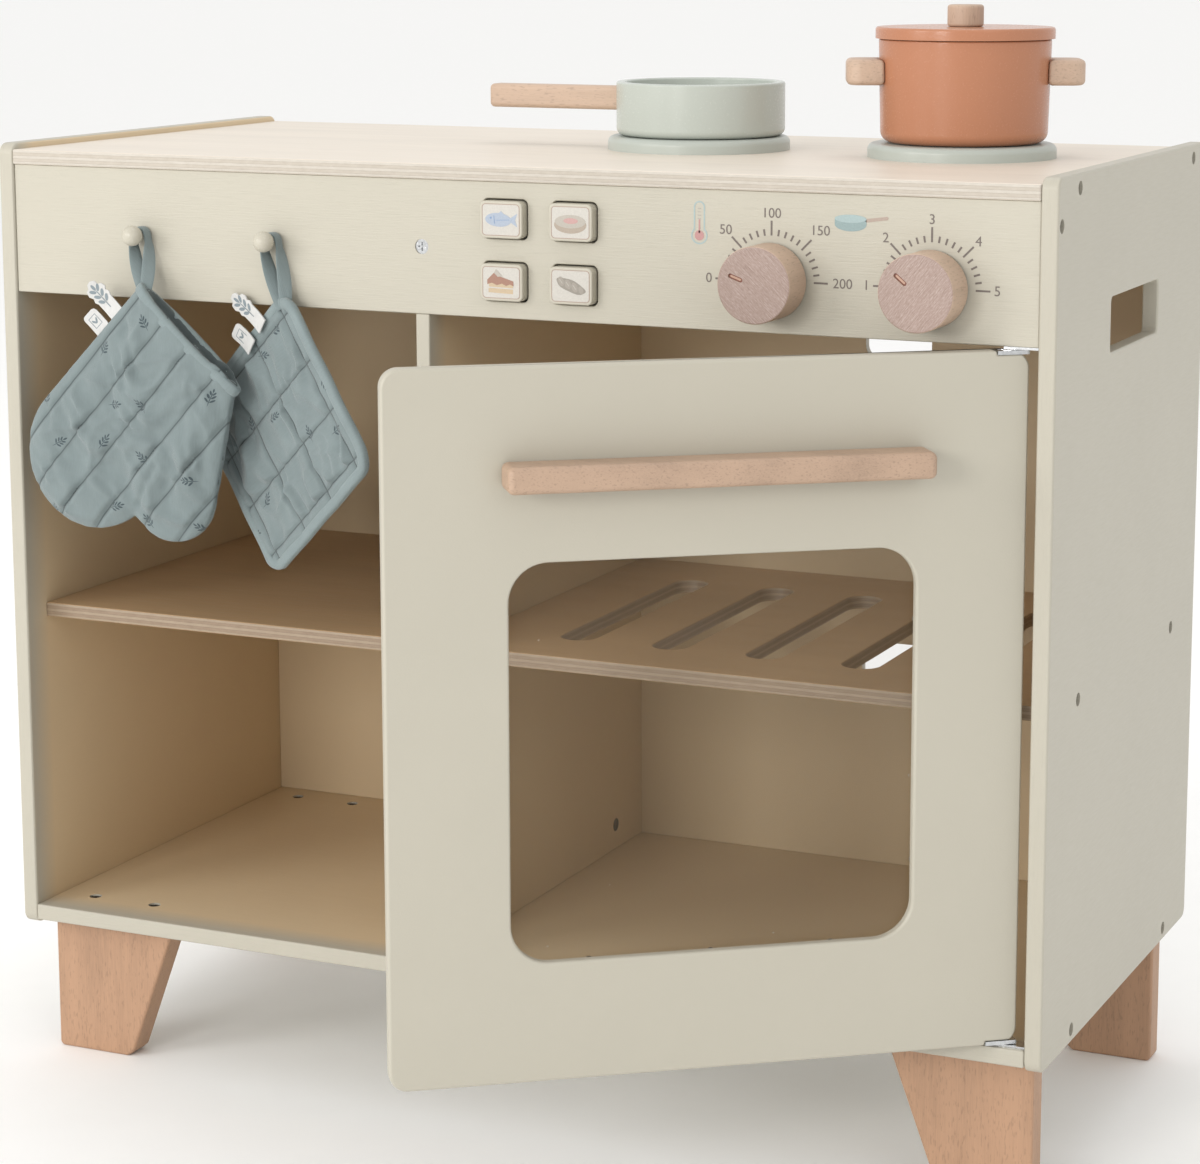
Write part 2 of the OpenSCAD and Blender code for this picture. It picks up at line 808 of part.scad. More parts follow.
module pan_handle() {
    s = pan_handle_s;
    x1 = ring_xs[0] + 1 - pan_d / 2 + 1;
    color("#dcb48f") difference() {
        board([x1 - pan_handle_l - 1, ring_y - s / 2, pan_handle_z - s / 2], [x1, ring_y + s / 2, pan_handle_z + s / 2]);
        rod_z([ring_xs[0] + 1, ring_y, pan_z], pan_h, pan_d / 2, $fn = 128);
        at_pan_screw() cylinder(h = 24, r = screw_r);
    }
}

module pan_handle_screw() {
    color("#8b8d90") at_pan_screw() {
        translate([0, 0, -2]) cylinder(h = 1.6, r = screw_head_r);
        translate([0, 0, -2]) cylinder(h = 26, r = screw_r);
    }
}

module at_pot_screws() {
    for (s = [0, 180]) translate([ring_xs[1] + 1, ring_y, pot_handle_z]) rotate([0, 0, pot_turn + s])
        rotate([0, 90, 0]) children();
}

module pot_body() {
    color("#cf9072") difference() {
        translate([ring_xs[1] + 1, ring_y, pan_z])
            vessel(pot_foot_d / 2, pot_d / 2, pot_h, pot_wall, pot_wall, pot_round);
        at_pot_screws() translate([0, 0, pot_d / 2 - 8]) cylinder(h = 12, r = screw_r);
    }
}

// Two blocks with round outer corners, hollowed to the pot's side
module pot_handles() {
    color("#dcb48f") difference() {
        for (s = [0, 180]) translate([ring_xs[1] + 1, ring_y, pot_handle_z - pot_handle_h / 2])
            rotate([0, 0, pot_turn + s]) translate([pot_d / 2 - 8, -pot_handle_w / 2, 0]) linear_extrude(pot_handle_h) {
                rounded(pot_handle_l + 8, pot_handle_w, 8);
                square([8, pot_handle_w]);
            }
        translate([ring_xs[1] + 1, ring_y, pan_z]) cylinder(h = pot_h, r1 = pot_foot_d / 2, r2 = pot_d / 2, $fn = 128);
        at_pot_screws() cylinder(h = pot_d / 2 + 14, r = screw_r);
    }
}

module pot_handle_screws() {
    color("#8b8d90") at_pot_screws() {
        translate([0, 0, pot_d / 2 - pot_wall - 2.6]) cylinder(h = 1.6, r = screw_head_r);
        translate([0, 0, pot_d / 2 - pot_wall - 2.6]) cylinder(h = 20.6, r = screw_r);
    }
}

module pot_lid() {
    color("#cf9072") translate([ring_xs[1] + 1, ring_y, lid_z]) difference() {
        union() {
            rotate_extrude($fn = 128) {
                square([lid_d / 2 - 1.5, lid_t]);
                square([lid_d / 2, lid_t - 1.5]);
                translate([lid_d / 2 - 1.5, lid_t - 1.5]) circle(1.5);
            }
            translate([0, 0, -lid_spigot]) cylinder(h = lid_spigot + 1, r = pot_d / 2 - pot_wall - 1, $fn = 128);
        }
        translate([0, 0, -lid_spigot - 1]) cylinder(h = lid_t + lid_spigot + 2, r = screw_r);
    }
}

module lid_knob() {
    color("#dcb48f") translate([ring_xs[1] + 1, ring_y, lid_z + lid_t]) difference() {
        cylinder(h = lid_knob_h, r = lid_knob_d / 2);
        translate([0, 0, -eps]) cylinder(h = 8, r = screw_r);
    }
}

module lid_screw() {
    color("#8b8d90") translate([ring_xs[1] + 1, ring_y, lid_z - lid_spigot]) {
        translate([0, 0, -1.8]) cylinder(h = 1.8, r = screw_head_r);
        cylinder(h = lid_t + lid_spigot + 7.9, r = screw_r);
    }
}

// ---- textiles -----------------------------------------------------------------------------

// Flat loop of strap that hangs on a hook's neck, the strap's width running along Y
module strap_loop(x, l) {
    top = hook_z + hook_neck_r + gap + 0.05;
    upright(strap_y, strap_w) translate([x, top - l + strap_t]) difference() {
        translate([-loop_w / 2 - strap_t, 0]) rounded(loop_w + 2 * strap_t, l, loop_w / 2 + strap_t - eps);
        translate([-loop_w / 2, strap_t]) rounded(loop_w, l - 2 * strap_t, loop_w / 2 - eps);
    }
}

// Outline of the mitt in X and Z: the fingers' round end, the thumb, and the cuff's two corners.
// in moves the outline inwards, and out lengthens it past the cuff.
module mitt_outline(in, out) {
    along = [out * 0.71, out * 0.71];
    hull() {
        translate([-234, 355]) circle(41 - in, $fn = 48);
        for (p = [mitt_cuff[0] + [1, -1] * in, mitt_cuff[1] + [-1, 1] * in]) translate(p + along) circle(0.5);
        translate([-190, 370]) circle(20 - in, $fn = 32);
    }
    hull() {
        translate([-184, 336]) circle(26 - in, $fn = 32);
        translate([-160, 395]) circle(15 - in, $fn = 32);
    }
}

module oven_mitt() {
    color("#96aaa8") difference() {
        upright(mitt_y1 - mitt_t, mitt_t) mitt_outline(0, 0);
        upright(mitt_y1 - mitt_t + mitt_wall, mitt_t - 2 * mitt_wall) mitt_outline(mitt_wall, 12);
    }
}

module mitt_loop() {
    color("#a4b5b3") strap_loop(hook_xs[0], loop_l);
}

// Rounded square on one corner, turned about the vertical
module pot_holder() {
    color("#96aaa8") translate(holder_c) rotate([0, 0, -holder_turn]) rotate([0, -holder_tilt, 0])
        upright(-holder_t / 2, holder_t) rounded_mid(holder_side, holder_side, holder_round);
}

module holder_loop() {
    color("#a4b5b3") difference() {
        strap_loop(hook_xs[1], loop_l);
        translate(holder_c) rotate([0, 0, -holder_turn]) rotate([0, -holder_tilt, 0])
            upright(-holder_t / 2 - gap / 2, holder_t + gap)
            rounded_mid(holder_side, holder_side, holder_round);
    }
}

// ---- nodes --------------------------------------------------------------------------------

side_panel(-1);  // left_side_panel
side_panel(1);  // right_side_panel
worktop();
control_panel();
divider();
bottom_panel();
back_panel();
left_shelf();
oven_rack();
leg(-1, leg_front_y);  // leg_front_left
leg(1, leg_front_y);  // leg_front_right
leg(-1, leg_rear_y);  // leg_rear_left
leg(1, leg_rear_y);  // leg_rear_right
side_screws();
leg_screws();
back_screws();
shelf_dowels();
divider_bolts();
control_panel_screw();
hob_ring(ring_xs[0]);  // hob_ring_left
hob_ring(ring_xs[1]);  // hob_ring_right
hob_ring_screws();
hook(hook_xs[0]);  // hook_left
hook(hook_xs[1]);  // hook_right
hinge_plate_top();
hinge_plate_bottom();
hinge_plate_screws();
button_housing();
button_housing_screws();
button_springs();
button(button_xs[0], button_zs[0]);  // button_fish
button(button_xs[1], button_zs[0]);  // button_ham
button(button_xs[0], button_zs[1]);  // button_cake
button(button_xs[1], button_zs[1]);  // button_bread
knob(knob_xs[0], temperature_mark);  // temperature_knob
knob_screw(knob_xs[0]);  // temperature_knob_screw
knob(knob_xs[1], hob_mark);  // hob_knob
knob_screw(knob_xs[1]);  // hob_knob_screw
door_panel();
window_pane();
pane_screws();
door_handle();
door_handle_screws();
hinge_leaves();
hinge_leaf_screws();
pan_body();
pan_handle();
pan_handle_screw();
pot_body();
pot_handles();
pot_handle_screws();
pot_lid();
lid_knob();
lid_screw();
oven_mitt();
mitt_loop();
pot_holder();
holder_loop();
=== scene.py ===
"""Looks for the toy kitchen: rounded boards with paint and grain, prints, quilted textiles, studio."""
import json
import math

import bmesh
import bpy
from mathutils import Matrix, Vector, kdtree, noise


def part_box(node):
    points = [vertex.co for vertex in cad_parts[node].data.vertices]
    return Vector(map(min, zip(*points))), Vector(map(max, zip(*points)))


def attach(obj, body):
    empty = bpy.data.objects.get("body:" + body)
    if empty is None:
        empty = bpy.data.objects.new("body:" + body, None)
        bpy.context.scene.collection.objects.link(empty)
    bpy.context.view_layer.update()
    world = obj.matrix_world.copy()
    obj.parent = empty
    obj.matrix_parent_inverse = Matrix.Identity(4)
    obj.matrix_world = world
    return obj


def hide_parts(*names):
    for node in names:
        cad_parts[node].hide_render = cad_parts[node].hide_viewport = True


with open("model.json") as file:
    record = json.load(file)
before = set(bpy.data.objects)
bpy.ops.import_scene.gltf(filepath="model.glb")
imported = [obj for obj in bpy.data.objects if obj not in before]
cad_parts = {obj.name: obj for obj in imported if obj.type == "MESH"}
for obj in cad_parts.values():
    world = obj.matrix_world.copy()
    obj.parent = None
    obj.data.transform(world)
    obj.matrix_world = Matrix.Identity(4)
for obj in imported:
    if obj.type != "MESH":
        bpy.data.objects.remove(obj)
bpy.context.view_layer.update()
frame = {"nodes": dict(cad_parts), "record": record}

MM = 0.001
BODY_OF = {n: b for b, nodes in frame["record"]["behaviour"]["bodies"].items() for n in nodes}
SLOT_OF = {s["node"]: s["material_slot"] for s in frame["record"]["subparts"]}


# ---- camera, light and floor --------------------------------------------------------------

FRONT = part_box("left_side_panel")[0].y      # front edges of the side panels
YAW, PITCH = 0.41853, 0.16508               # radians
SOFT_WHITE = (1.0, 0.985, 0.96)


def make_camera():
    """A long lens to the right of the kitchen, looking a little down on it."""
    data = bpy.data.cameras.new("camera")
    data.sensor_width = 36.0
    data.lens = 94.071
    data.shift_x = -0.041667
    data.shift_y = -0.11
    data.clip_end = 100
    camera = bpy.data.objects.new("camera", data)
    bpy.context.scene.collection.objects.link(camera)
    camera.location = (0.7226, FRONT - 1.4233, 0.6359)
    camera.rotation_euler = (math.pi / 2 - PITCH, 0, YAW)
    bpy.context.scene.camera = camera


def area_light(name, place, target, size, power, tint=(1, 1, 1)):
    """A square light at place that looks at target."""
    data = bpy.data.lights.new(name, "AREA")
    data.shape = "SQUARE"
    data.size = size
    data.energy = power
    data.color = tint
    lamp = bpy.data.objects.new(name, data)
    bpy.context.scene.collection.objects.link(lamp)
    lamp.location = place
    lamp.rotation_euler = (Vector(target) - Vector(place)).to_track_quat("-Z", "Y").to_euler()


def studio():
    """A bright pale room: four soft lights and a floor that reaches the horizon."""
    scene = bpy.context.scene
    scene.view_settings.view_transform = "Standard"
    world = bpy.data.worlds.new("studio")
    world.use_nodes = True
    back = world.node_tree.nodes["Background"]
    back.inputs["Color"].default_value = (1.0, 0.995, 0.985, 1)
    back.inputs["Strength"].default_value = 0.95
    scene.world = world
    area_light("key", (-1.9, -2.3, 1.3), (0, 0, 0.3), 1.2, 26, SOFT_WHITE)
    area_light("front", (-0.5, -3.2, 1.15), (0, 0, 0.35), 0.9, 30, SOFT_WHITE)
    area_light("side", (2.4, -1.9, 1.6), (0, 0, 0.4), 0.8, 4)
    area_light("top", (0.1, 0.5, 2.3), (0, 0, 0.4), 1.2, 6)
    far = 400
    mesh = bpy.data.meshes.new("floor")
    mesh.from_pydata([(-far, -far, 0), (far, -far, 0), (far, far, 0), (-far, far, 0)], [], [(0, 1, 2, 3)])
    floor = bpy.data.objects.new("floor", mesh)
    scene.collection.objects.link(floor)
    s = Surface("floor")
    grain = s.cloud(30, 3, 0.5)
    s.put("Base Color", s.ramp(grain, [(0.3, (0.965, 0.965, 0.96)), (0.7, (0.98, 0.98, 0.975))]))
    s.put("Roughness", 0.85)
    mesh.materials.append(s.material)


# ---- materials ----------------------------------------------------------------------------

class Surface:
    """A node material with short calls for the nodes it uses most."""

    def __init__(self, name):
        self.material = bpy.data.materials.new(name)
        self.material.use_nodes = True
        self.tree = self.material.node_tree
        self.tree.nodes.clear()
        self.out = self.tree.nodes.new("ShaderNodeOutputMaterial")
        self.shader = self.tree.nodes.new("ShaderNodeBsdfPrincipled")
        self.tree.links.new(self.shader.outputs[0], self.out.inputs[0])
        coordinates = self.tree.nodes.new("ShaderNodeTexCoord")
        self.place = coordinates.outputs["Object"]
        self.facing = coordinates.outputs["Normal"]

    def give(self, socket, value):
        if isinstance(value, bpy.types.NodeSocket):
            self.tree.links.new(value, socket)
        elif hasattr(value, "__len__") and len(value) == 3 and socket.type == "RGBA":
            socket.default_value = (*value, 1)
        else:
            socket.default_value = value

    def put(self, name, value):
        self.give(self.shader.inputs[name], value)

    def calc(self, operation, a, b=0.0, c=0.0):
        node = self.tree.nodes.new("ShaderNodeMath")
        node.operation = operation
        for socket, value in zip(node.inputs, (a, b, c)):
            self.give(socket, value)
        return node.outputs[0]

    def times(self, a, b):
        return self.calc("MULTIPLY", a, b)

    def plus(self, a, b):
        return self.calc("ADD", a, b)

    def vector(self, operation, a, b):
        node = self.tree.nodes.new("ShaderNodeVectorMath")
        node.operation = operation
        self.give(node.inputs[0], a)
        self.give(node.inputs[1], b)
        return node.outputs["Value"] if operation in ("DOT_PRODUCT", "LENGTH") else node.outputs[0]

    def scaled(self, place, factors):
        return self.vector("MULTIPLY", place, factors)

    def parts(self, place):
        node = self.tree.nodes.new("ShaderNodeSeparateXYZ")
        self.give(node.inputs[0], place)
        return node.outputs

    def joined(self, x, y, z):
        node = self.tree.nodes.new("ShaderNodeCombineXYZ")
        for socket, value in zip(node.inputs, (x, y, z)):
            self.give(socket, value)
        return node.outputs[0]

    def noise(self, place, detail, roughness):
        node = self.tree.nodes.new("ShaderNodeTexNoise")
        self.give(node.inputs["Vector"], place)
        node.inputs["Scale"].default_value = 1.0
        node.inputs["Detail"].default_value = detail
        node.inputs["Roughness"].default_value = roughness
        return node.outputs[0]

    def cloud(self, size, detail, roughness):
        """Noise of the same size in all directions."""
        return self.noise(self.scaled(self.place, (size, size, size)), detail, roughness)

    def ramp(self, value, stops, hard=False):
        node = self.tree.nodes.new("ShaderNodeValToRGB")
        if hard:
            node.color_ramp.interpolation = "CONSTANT"
        elements = node.color_ramp.elements
        while len(elements) > 1:
            elements.remove(elements[-1])
        elements[0].position = stops[0][0]
        elements[0].color = (*stops[0][1], 1)
        for position, colour in stops[1:]:
            elements.new(position).color = (*colour, 1)
        self.give(node.inputs[0], value)
        return node.outputs[0]

    def tones(self, value, colour, low, high):
        """Shades of one colour, from low to high times its brightness."""
        return self.ramp(value, [(0.3, shade(colour, low)), (0.7, shade(colour, high))])

    def span(self, value, low, high, to_low=0.0, to_high=1.0):
        node = self.tree.nodes.new("ShaderNodeMapRange")
        for socket, item in zip(node.inputs, (value, low, high, to_low, to_high)):
            self.give(socket, item)
        return node.outputs[0]

    def mix(self, factor, a, b):
        node = self.tree.nodes.new("ShaderNodeMix")
        node.data_type = "RGBA"
        self.give(node.inputs["Factor"], factor)
        colours = [socket for socket in node.inputs if socket.type == "RGBA"]
        self.give(colours[0], a)
        self.give(colours[1], b)
        return node.outputs[2]

    def rough(self, value, low, high):
        self.put("Roughness", self.span(value, 0.3, 0.7, low, high))

    def bump(self, height, distance, strength):
        node = self.tree.nodes.new("ShaderNodeBump")
        node.inputs["Strength"].default_value = strength
        node.inputs["Distance"].default_value = distance
        self.give(node.inputs["Height"], height)
        self.put("Normal", node.outputs[0])

    def edge_faces(self, axis):
        """1 on the faces that don't look along the axis."""
        part = self.calc("ABSOLUTE", self.parts(self.facing)[axis])
        return self.span(part, 0.75, 0.55)


def shade(colour, factor):
    """A colour made lighter or darker."""
    return tuple(min(1.0, c * factor) for c in colour)


CREAM = (0.455, 0.428, 0.355)
CREAM_IN_INSIDE_SHADE = (0.64, 0.51, 0.335)            # the cream made warmer on the faces inside the cabinet: painted shade and warm bounced light
BIRCH = (0.70, 0.63, 0.54)
# the shelves' birch, darker and more orange than the worktop's: painted shade of the cabinet's inside
SHADED_BIRCH_INSIDE = (0.51, 0.34, 0.19)
BEECH = (0.51, 0.37, 0.275)
END_GRAIN = ((0.225, 0.15, 0.12), (0.325, 0.235, 0.20), (0.45, 0.36, 0.32))
SAGE = (0.425, 0.455, 0.415)
TERRACOTTA = (0.43, 0.185, 0.10)
FABRIC = (0.195, 0.237, 0.24)
PRINT = (0.05, 0.07, 0.08)
WHITE_TAPE = (0.62, 0.615, 0.60)
TAG_INK = (0.20, 0.24, 0.26)
INK = (0.15, 0.125, 0.11)


def paint(name, colour, board=None, roughness=0.42, inside=None, both=False):
    """Satin paint. board is the axis a board is thin along: its edges show the plies through it.
    inside is the direction of the faces that look into the cabinet, where a warmer cream is painted on as
    shade and bounced light; both takes the opposite ones too."""
    s = Surface(name)
    cloud = s.cloud(14, 4, 0.6)
    tone = s.tones(cloud, colour, 0.985, 1.012)
    # painted shade and bounced light: faces looking inside, from 4 to 20 mm behind the front edge on, blend
    # to a warmer cream
    if inside is not None:
        inward = s.vector("DOT_PRODUCT", s.facing, inside)
        inner = s.tones(cloud, CREAM_IN_INSIDE_SHADE, 0.98, 1.015)
        if both:
            inward = s.calc("ABSOLUTE", inward)
        deep = s.span(s.parts(s.place)[1], FRONT + 4 * MM, FRONT + 20 * MM)
        tone = s.mix(s.times(s.span(inward, 0.4, 0.7), deep), tone, inner)
    orange_peel = s.cloud(900, 2, 0.5)
    along = [900] * 3 if board is None else [70, 70, 900] if board != 2 else [40, 900, 900]
    grain = s.noise(s.scaled(s.place, along), 5, 0.65)
    height = s.plus(s.times(orange_peel, 0.35), s.times(grain, 0.10))
    if board is not None:
        edge = s.edge_faces(board)
        plies = [60, 60, 60]
        plies[board] = 1300
        rough_edge = s.noise(s.scaled(s.place, plies), 4, 0.7)
        height = s.plus(height, s.times(edge, s.times(rough_edge, 1.6)))
        worn = s.times(edge, s.span(rough_edge, 0.52, 0.75))
        tone = s.mix(s.times(worn, 0.45), tone, shade(colour, 0.86))
    s.put("Base Color", tone)
    s.rough(grain, roughness - 0.05, roughness + 0.07)
    s.put("Specular IOR Level", 0.45)
    s.bump(height, 0.00022, 0.5)
    return s.material


def birch(name, low, high, colour, plies_from):
    """Lacquered birch plywood whose plies show between low and high on the edges.
    plies_from holds the tones of the light plies, the dark plies and the glue lines."""
    s = Surface(name)
    broad = s.noise(s.scaled(s.place, (5, 42, 42)), 5, 0.6)
    fibre = s.noise(s.scaled(s.place, (60, 1300, 1300)), 3, 0.6)
    cathedral = s.noise(s.scaled(s.place, (2.2, 16, 16)), 2, 0.5)
    rings = s.calc("SINE", s.times(cathedral, 130))
    value = s.plus(s.times(broad, 0.65), s.times(fibre, 0.35))
    value = s.plus(value, s.times(rings, 0.025))
    face = s.ramp(value, [(0.25, shade(colour, 0.88)), (0.5, colour), (0.78, shade(colour, 1.06))])
    depth = s.span(s.parts(s.place)[2], low, high)
    light, dark, glue = plies_from
    stops = []
    for i in range(5):
        stops.append((i * 0.2, light if i % 2 == 0 else dark))
        stops.append((i * 0.2 + 0.18, glue))
    stops[-1] = (0.985, light)
    plies = s.ramp(depth, stops, hard=True)
    streaks = s.noise(s.scaled(s.place, (160, 160, 500)), 4, 0.7)
    plies = s.mix(0.35, plies, s.ramp(streaks, [(0.3, shade(dark, 0.9)), (0.7, shade(light, 1.1))]))
    edge = s.edge_faces(2)
    s.put("Base Color", s.mix(edge, face, plies))
    s.rough(fibre, 0.36, 0.5)
    s.bump(s.plus(fibre, s.times(edge, streaks)), 0.00015, 0.45)
    return s.material


def beech(name, grain, colour=BEECH, face_axis=None, streak=0.0):
    """Steamed beech with short flecks along the grain axis, and end grain on face_axis if given."""
    s = Surface(name)
    broad_scale, fibre_scale, fleck_scale = [62] * 3, [1500] * 3, [1250] * 3
    broad_scale[grain], fibre_scale[grain], fleck_scale[grain] = 7, 70, 260
    broad = s.noise(s.scaled(s.place, broad_scale), 5, 0.55)
    fibre = s.noise(s.scaled(s.place, fibre_scale), 3, 0.6)
    flecks = s.noise(s.scaled(s.place, fleck_scale), 1, 0.4)
    value = s.plus(s.times(broad, 0.62), s.times(fibre, 0.38))
    tone = s.ramp(value, [(0.28, shade(colour, 0.76)), (0.5, colour), (0.75, shade(colour, 1.13))])
    tone = s.mix(s.span(flecks, 0.60, 0.70, 0.0, 0.42), tone, shade(colour, 0.55))
    height = s.calc("SUBTRACT", fibre, s.times(flecks, 0.4))
    if face_axis is not None:
        x, _, z = s.parts(s.place)
        c, d = math.cos(streak), math.sin(streak)
        u = s.plus(s.times(x, c), s.times(z, d))
        v = s.calc("SUBTRACT", s.times(z, c), s.times(x, d))
        lines = s.noise(s.joined(s.times(u, 55), s.times(v, 2300), 0.0), 4, 0.75)
        pores = s.noise(s.joined(s.times(u, 500), s.times(v, 1900), 3.0), 2, 0.6)
        mixed = s.plus(s.times(lines, 0.6), s.times(pores, 0.4))
        end = s.ramp(mixed, [(0.33, END_GRAIN[0]), (0.5, END_GRAIN[1]), (0.66, END_GRAIN[2])])
        front = s.span(s.calc("ABSOLUTE", s.parts(s.facing)[face_axis]), 0.6, 0.85)
        tone = s.mix(front, tone, end)
        height = s.plus(height, s.times(front, lines))
    s.put("Base Color", tone)
    s.rough(fibre, 0.42, 0.56)
    s.bump(height, 0.00016, 0.5)
    return s.material


def metal(name, colour, roughness):
    """Brushed metal."""
    s = Surface(name)
    brushed = s.noise(s.scaled(s.place, (900, 90, 900)), 3, 0.6)
    s.put("Base Color", s.tones(brushed, colour, 0.86, 1.08))
    s.put("Metallic", 1.0)
    s.rough(brushed, roughness - 0.06, roughness + 0.08)
    s.bump(brushed, 0.00005, 0.3)
    return s.material


def ink(name, colour):
    """Screen print with an uneven coat."""
    s = Surface(name)
    coat = s.cloud(1200, 3, 0.6)
    s.put("Base Color", s.tones(coat, colour, 0.94, 1.06))
    s.rough(coat, 0.47, 0.63)
    return s.material


def plastic(name, colour):
    """Moulded plastic with a fine grain."""
    s = Surface(name)
    mould = s.cloud(700, 3, 0.6)
    s.put("Base Color", s.tones(mould, colour, 0.96, 1.03))
    s.rough(mould, 0.45, 0.55)
    s.bump(mould, 0.00008, 0.3)
    return s.material


def pane():
    """Thin acrylic with a faint dark brown tint, which paints shade over what is seen through it, and a few
    specks.
    """
    s = Surface("acrylic_pane")
    specks = s.cloud(420, 2, 0.5)
    dust = s.span(specks, 0.77, 0.82, 0.0, 0.25)
    # painted shade: the dark brown base at low alpha darkens the inside seen through the pane; the specks
    # are dust
    s.put("Base Color", s.ramp(dust, [(0.0, (0.16, 0.125, 0.08)), (0.2, (0.80, 0.79, 0.76))]))
    s.rough(specks, 0.04, 0.09)
    s.put("Alpha", s.plus(dust, 0.11))
    return s.material


def fabric(name, across, upward, quilts=(), sprigs=True, colour=FABRIC, thread=0.0006):
    """Printed cotton in the plane of across and upward. quilts holds (axis, offset, spacing); along each of
    its lines shade is painted.
    """
    s = Surface(name)
    u = s.vector("DOT_PRODUCT", s.place, across)
    v = s.vector("DOT_PRODUCT", s.place, upward)
    turn = 2 * math.pi / thread
    warp = s.calc("SINE", s.times(u, turn))
    weft = s.calc("SINE", s.times(v, turn))
    weave = s.calc("MAXIMUM", warp, weft)
    slubs = s.noise(s.joined(s.times(u, 1300), s.times(v, 160), 0.0), 2, 0.6)
    cloud = s.cloud(45, 4, 0.6)
    value = s.plus(s.times(cloud, 0.6), s.times(slubs, 0.4))
    tone = s.tones(value, colour, 0.90, 1.10)
    if sprigs:
        tone = s.mix(s.times(sprig_mask(s, u, v), 0.92), tone, PRINT)
    height = s.plus(s.times(weave, 0.5), slubs)
    for axis, offset, spacing in quilts:
        at = s.calc("DIVIDE", s.calc("SUBTRACT", s.vector("DOT_PRODUCT", s.place, axis), offset), spacing)
        from_line = s.calc("SUBTRACT", s.calc("FRACT", s.plus(at, 0.5)), 0.5)
        away = s.times(s.calc("ABSOLUTE", from_line), spacing)
        line = s.span(away, 0.00045, 0.00025)
        # painted shade in the stitched channels: a band within 2 mm of each stitch line is darkened, and the
        # thin line itself darkest
        tone = s.mix(s.times(s.span(away, 0.0020, 0.0), 0.38), tone, shade(colour, 0.50))
        tone = s.mix(s.times(line, 0.75), tone, shade(colour, 0.36))
    s.put("Base Color", tone)
    s.rough(slubs, 0.8, 0.92)
    s.put("Sheen Weight", 0.25)
    s.put("Sheen Roughness", 0.45)
    s.put("Specular IOR Level", 0.2)
    s.bump(height, 0.00025, 0.5)
    return s.material


def cotton(name, across, upward, brightness):
    """The mitt's cotton without the print, scaled by brightness; its darkest copy paints the shade inside
    the mitt.
    """
    return fabric(name, across, upward, sprigs=False, colour=shade(FABRIC, brightness))


def sprig_mask(s, u, v):
    """Small leaf sprigs, one in each cell, each turned its own way."""
    pitch = 34 * MM
    cells = s.tree.nodes.new("ShaderNodeTexVoronoi")
    cells.voronoi_dimensions = "2D"
    cells.inputs["Scale"].default_value = 1.0
    cells.inputs["Randomness"].default_value = 0.7
    place = s.joined(s.calc("DIVIDE", u, pitch), s.calc("DIVIDE", v, pitch), 0.0)
    s.give(cells.inputs["Vector"], place)
    local = s.scaled(s.vector("SUBTRACT", place, cells.outputs["Position"]), (pitch / MM,) * 3)
    x, y, _ = s.parts(local)
    chance = s.parts(cells.outputs["Color"])[0]
    angle = s.times(s.calc("SUBTRACT", chance, 0.5), 3.2)
    c, d = s.calc("COSINE", angle), s.calc("SINE", angle)
    a = s.calc("ABSOLUTE", s.calc("SUBTRACT", s.times(x, c), s.times(y, d)))
    b = s.plus(s.times(x, d), s.times(y, c))
    # place beside and along the stem, lean in degrees, half length and half width, in millimetres
    leaves = [(1.45, -1.5, 50, 1.4, 0.50), (1.30, 0.6, 42, 1.35, 0.50), (1.0, 2.4, 32, 1.2, 0.45)]
    tip, stem = (0, 4.0, 0, 1.1, 0.45), (0, -0.6, 0, 4.2, 0.20)
    nearest = None
    for at_a, at_b, lean, length, width in (*leaves, tip, stem):
        sine, cosine = math.sin(math.radians(lean)), math.cos(math.radians(lean))
        da, db = s.calc("SUBTRACT", a, at_a), s.calc("SUBTRACT", b, at_b)
        p = s.plus(s.times(da, sine / length), s.times(db, cosine / length))
        q = s.calc("SUBTRACT", s.times(da, cosine / width), s.times(db, sine / width))
        value = s.plus(s.times(p, p), s.times(q, q))
        nearest = value if nearest is None else s.calc("MINIMUM", nearest, value)
    return s.span(nearest, 1.25, 0.8)


# ---- pieces -------------------------------------------------------------------------------

def smooth(mesh, angle):
    """Smooth shading, except over edges sharper than angle."""
    mesh.polygons.foreach_set("use_smooth", [True] * len(mesh.polygons))
    mesh.set_sharp_from_angle(angle=math.radians(angle))


def add_piece(name, mesh, body, slot, material, angle=38):
    """A visible piece that moves with a body."""
    piece = bpy.data.objects.new(name, mesh)
    bpy.context.scene.collection.objects.link(piece)
    mesh.materials.clear()
    mesh.materials.append(material)
    smooth(mesh, angle)
    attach(piece, body)
    return piece


def edge_groups(edges):
    """Joined runs of edges, each as a list."""
    left, groups = set(edges), []
    while left:
        run, todo = [], [left.pop()]
        while todo:
            edge = todo.pop()
            run.append(edge)
            for vertex in edge.verts:
                for other in vertex.link_edges:
                    if other in left:
                        left.remove(other)
                        todo.append(other)
        groups.append(run)
    return groups


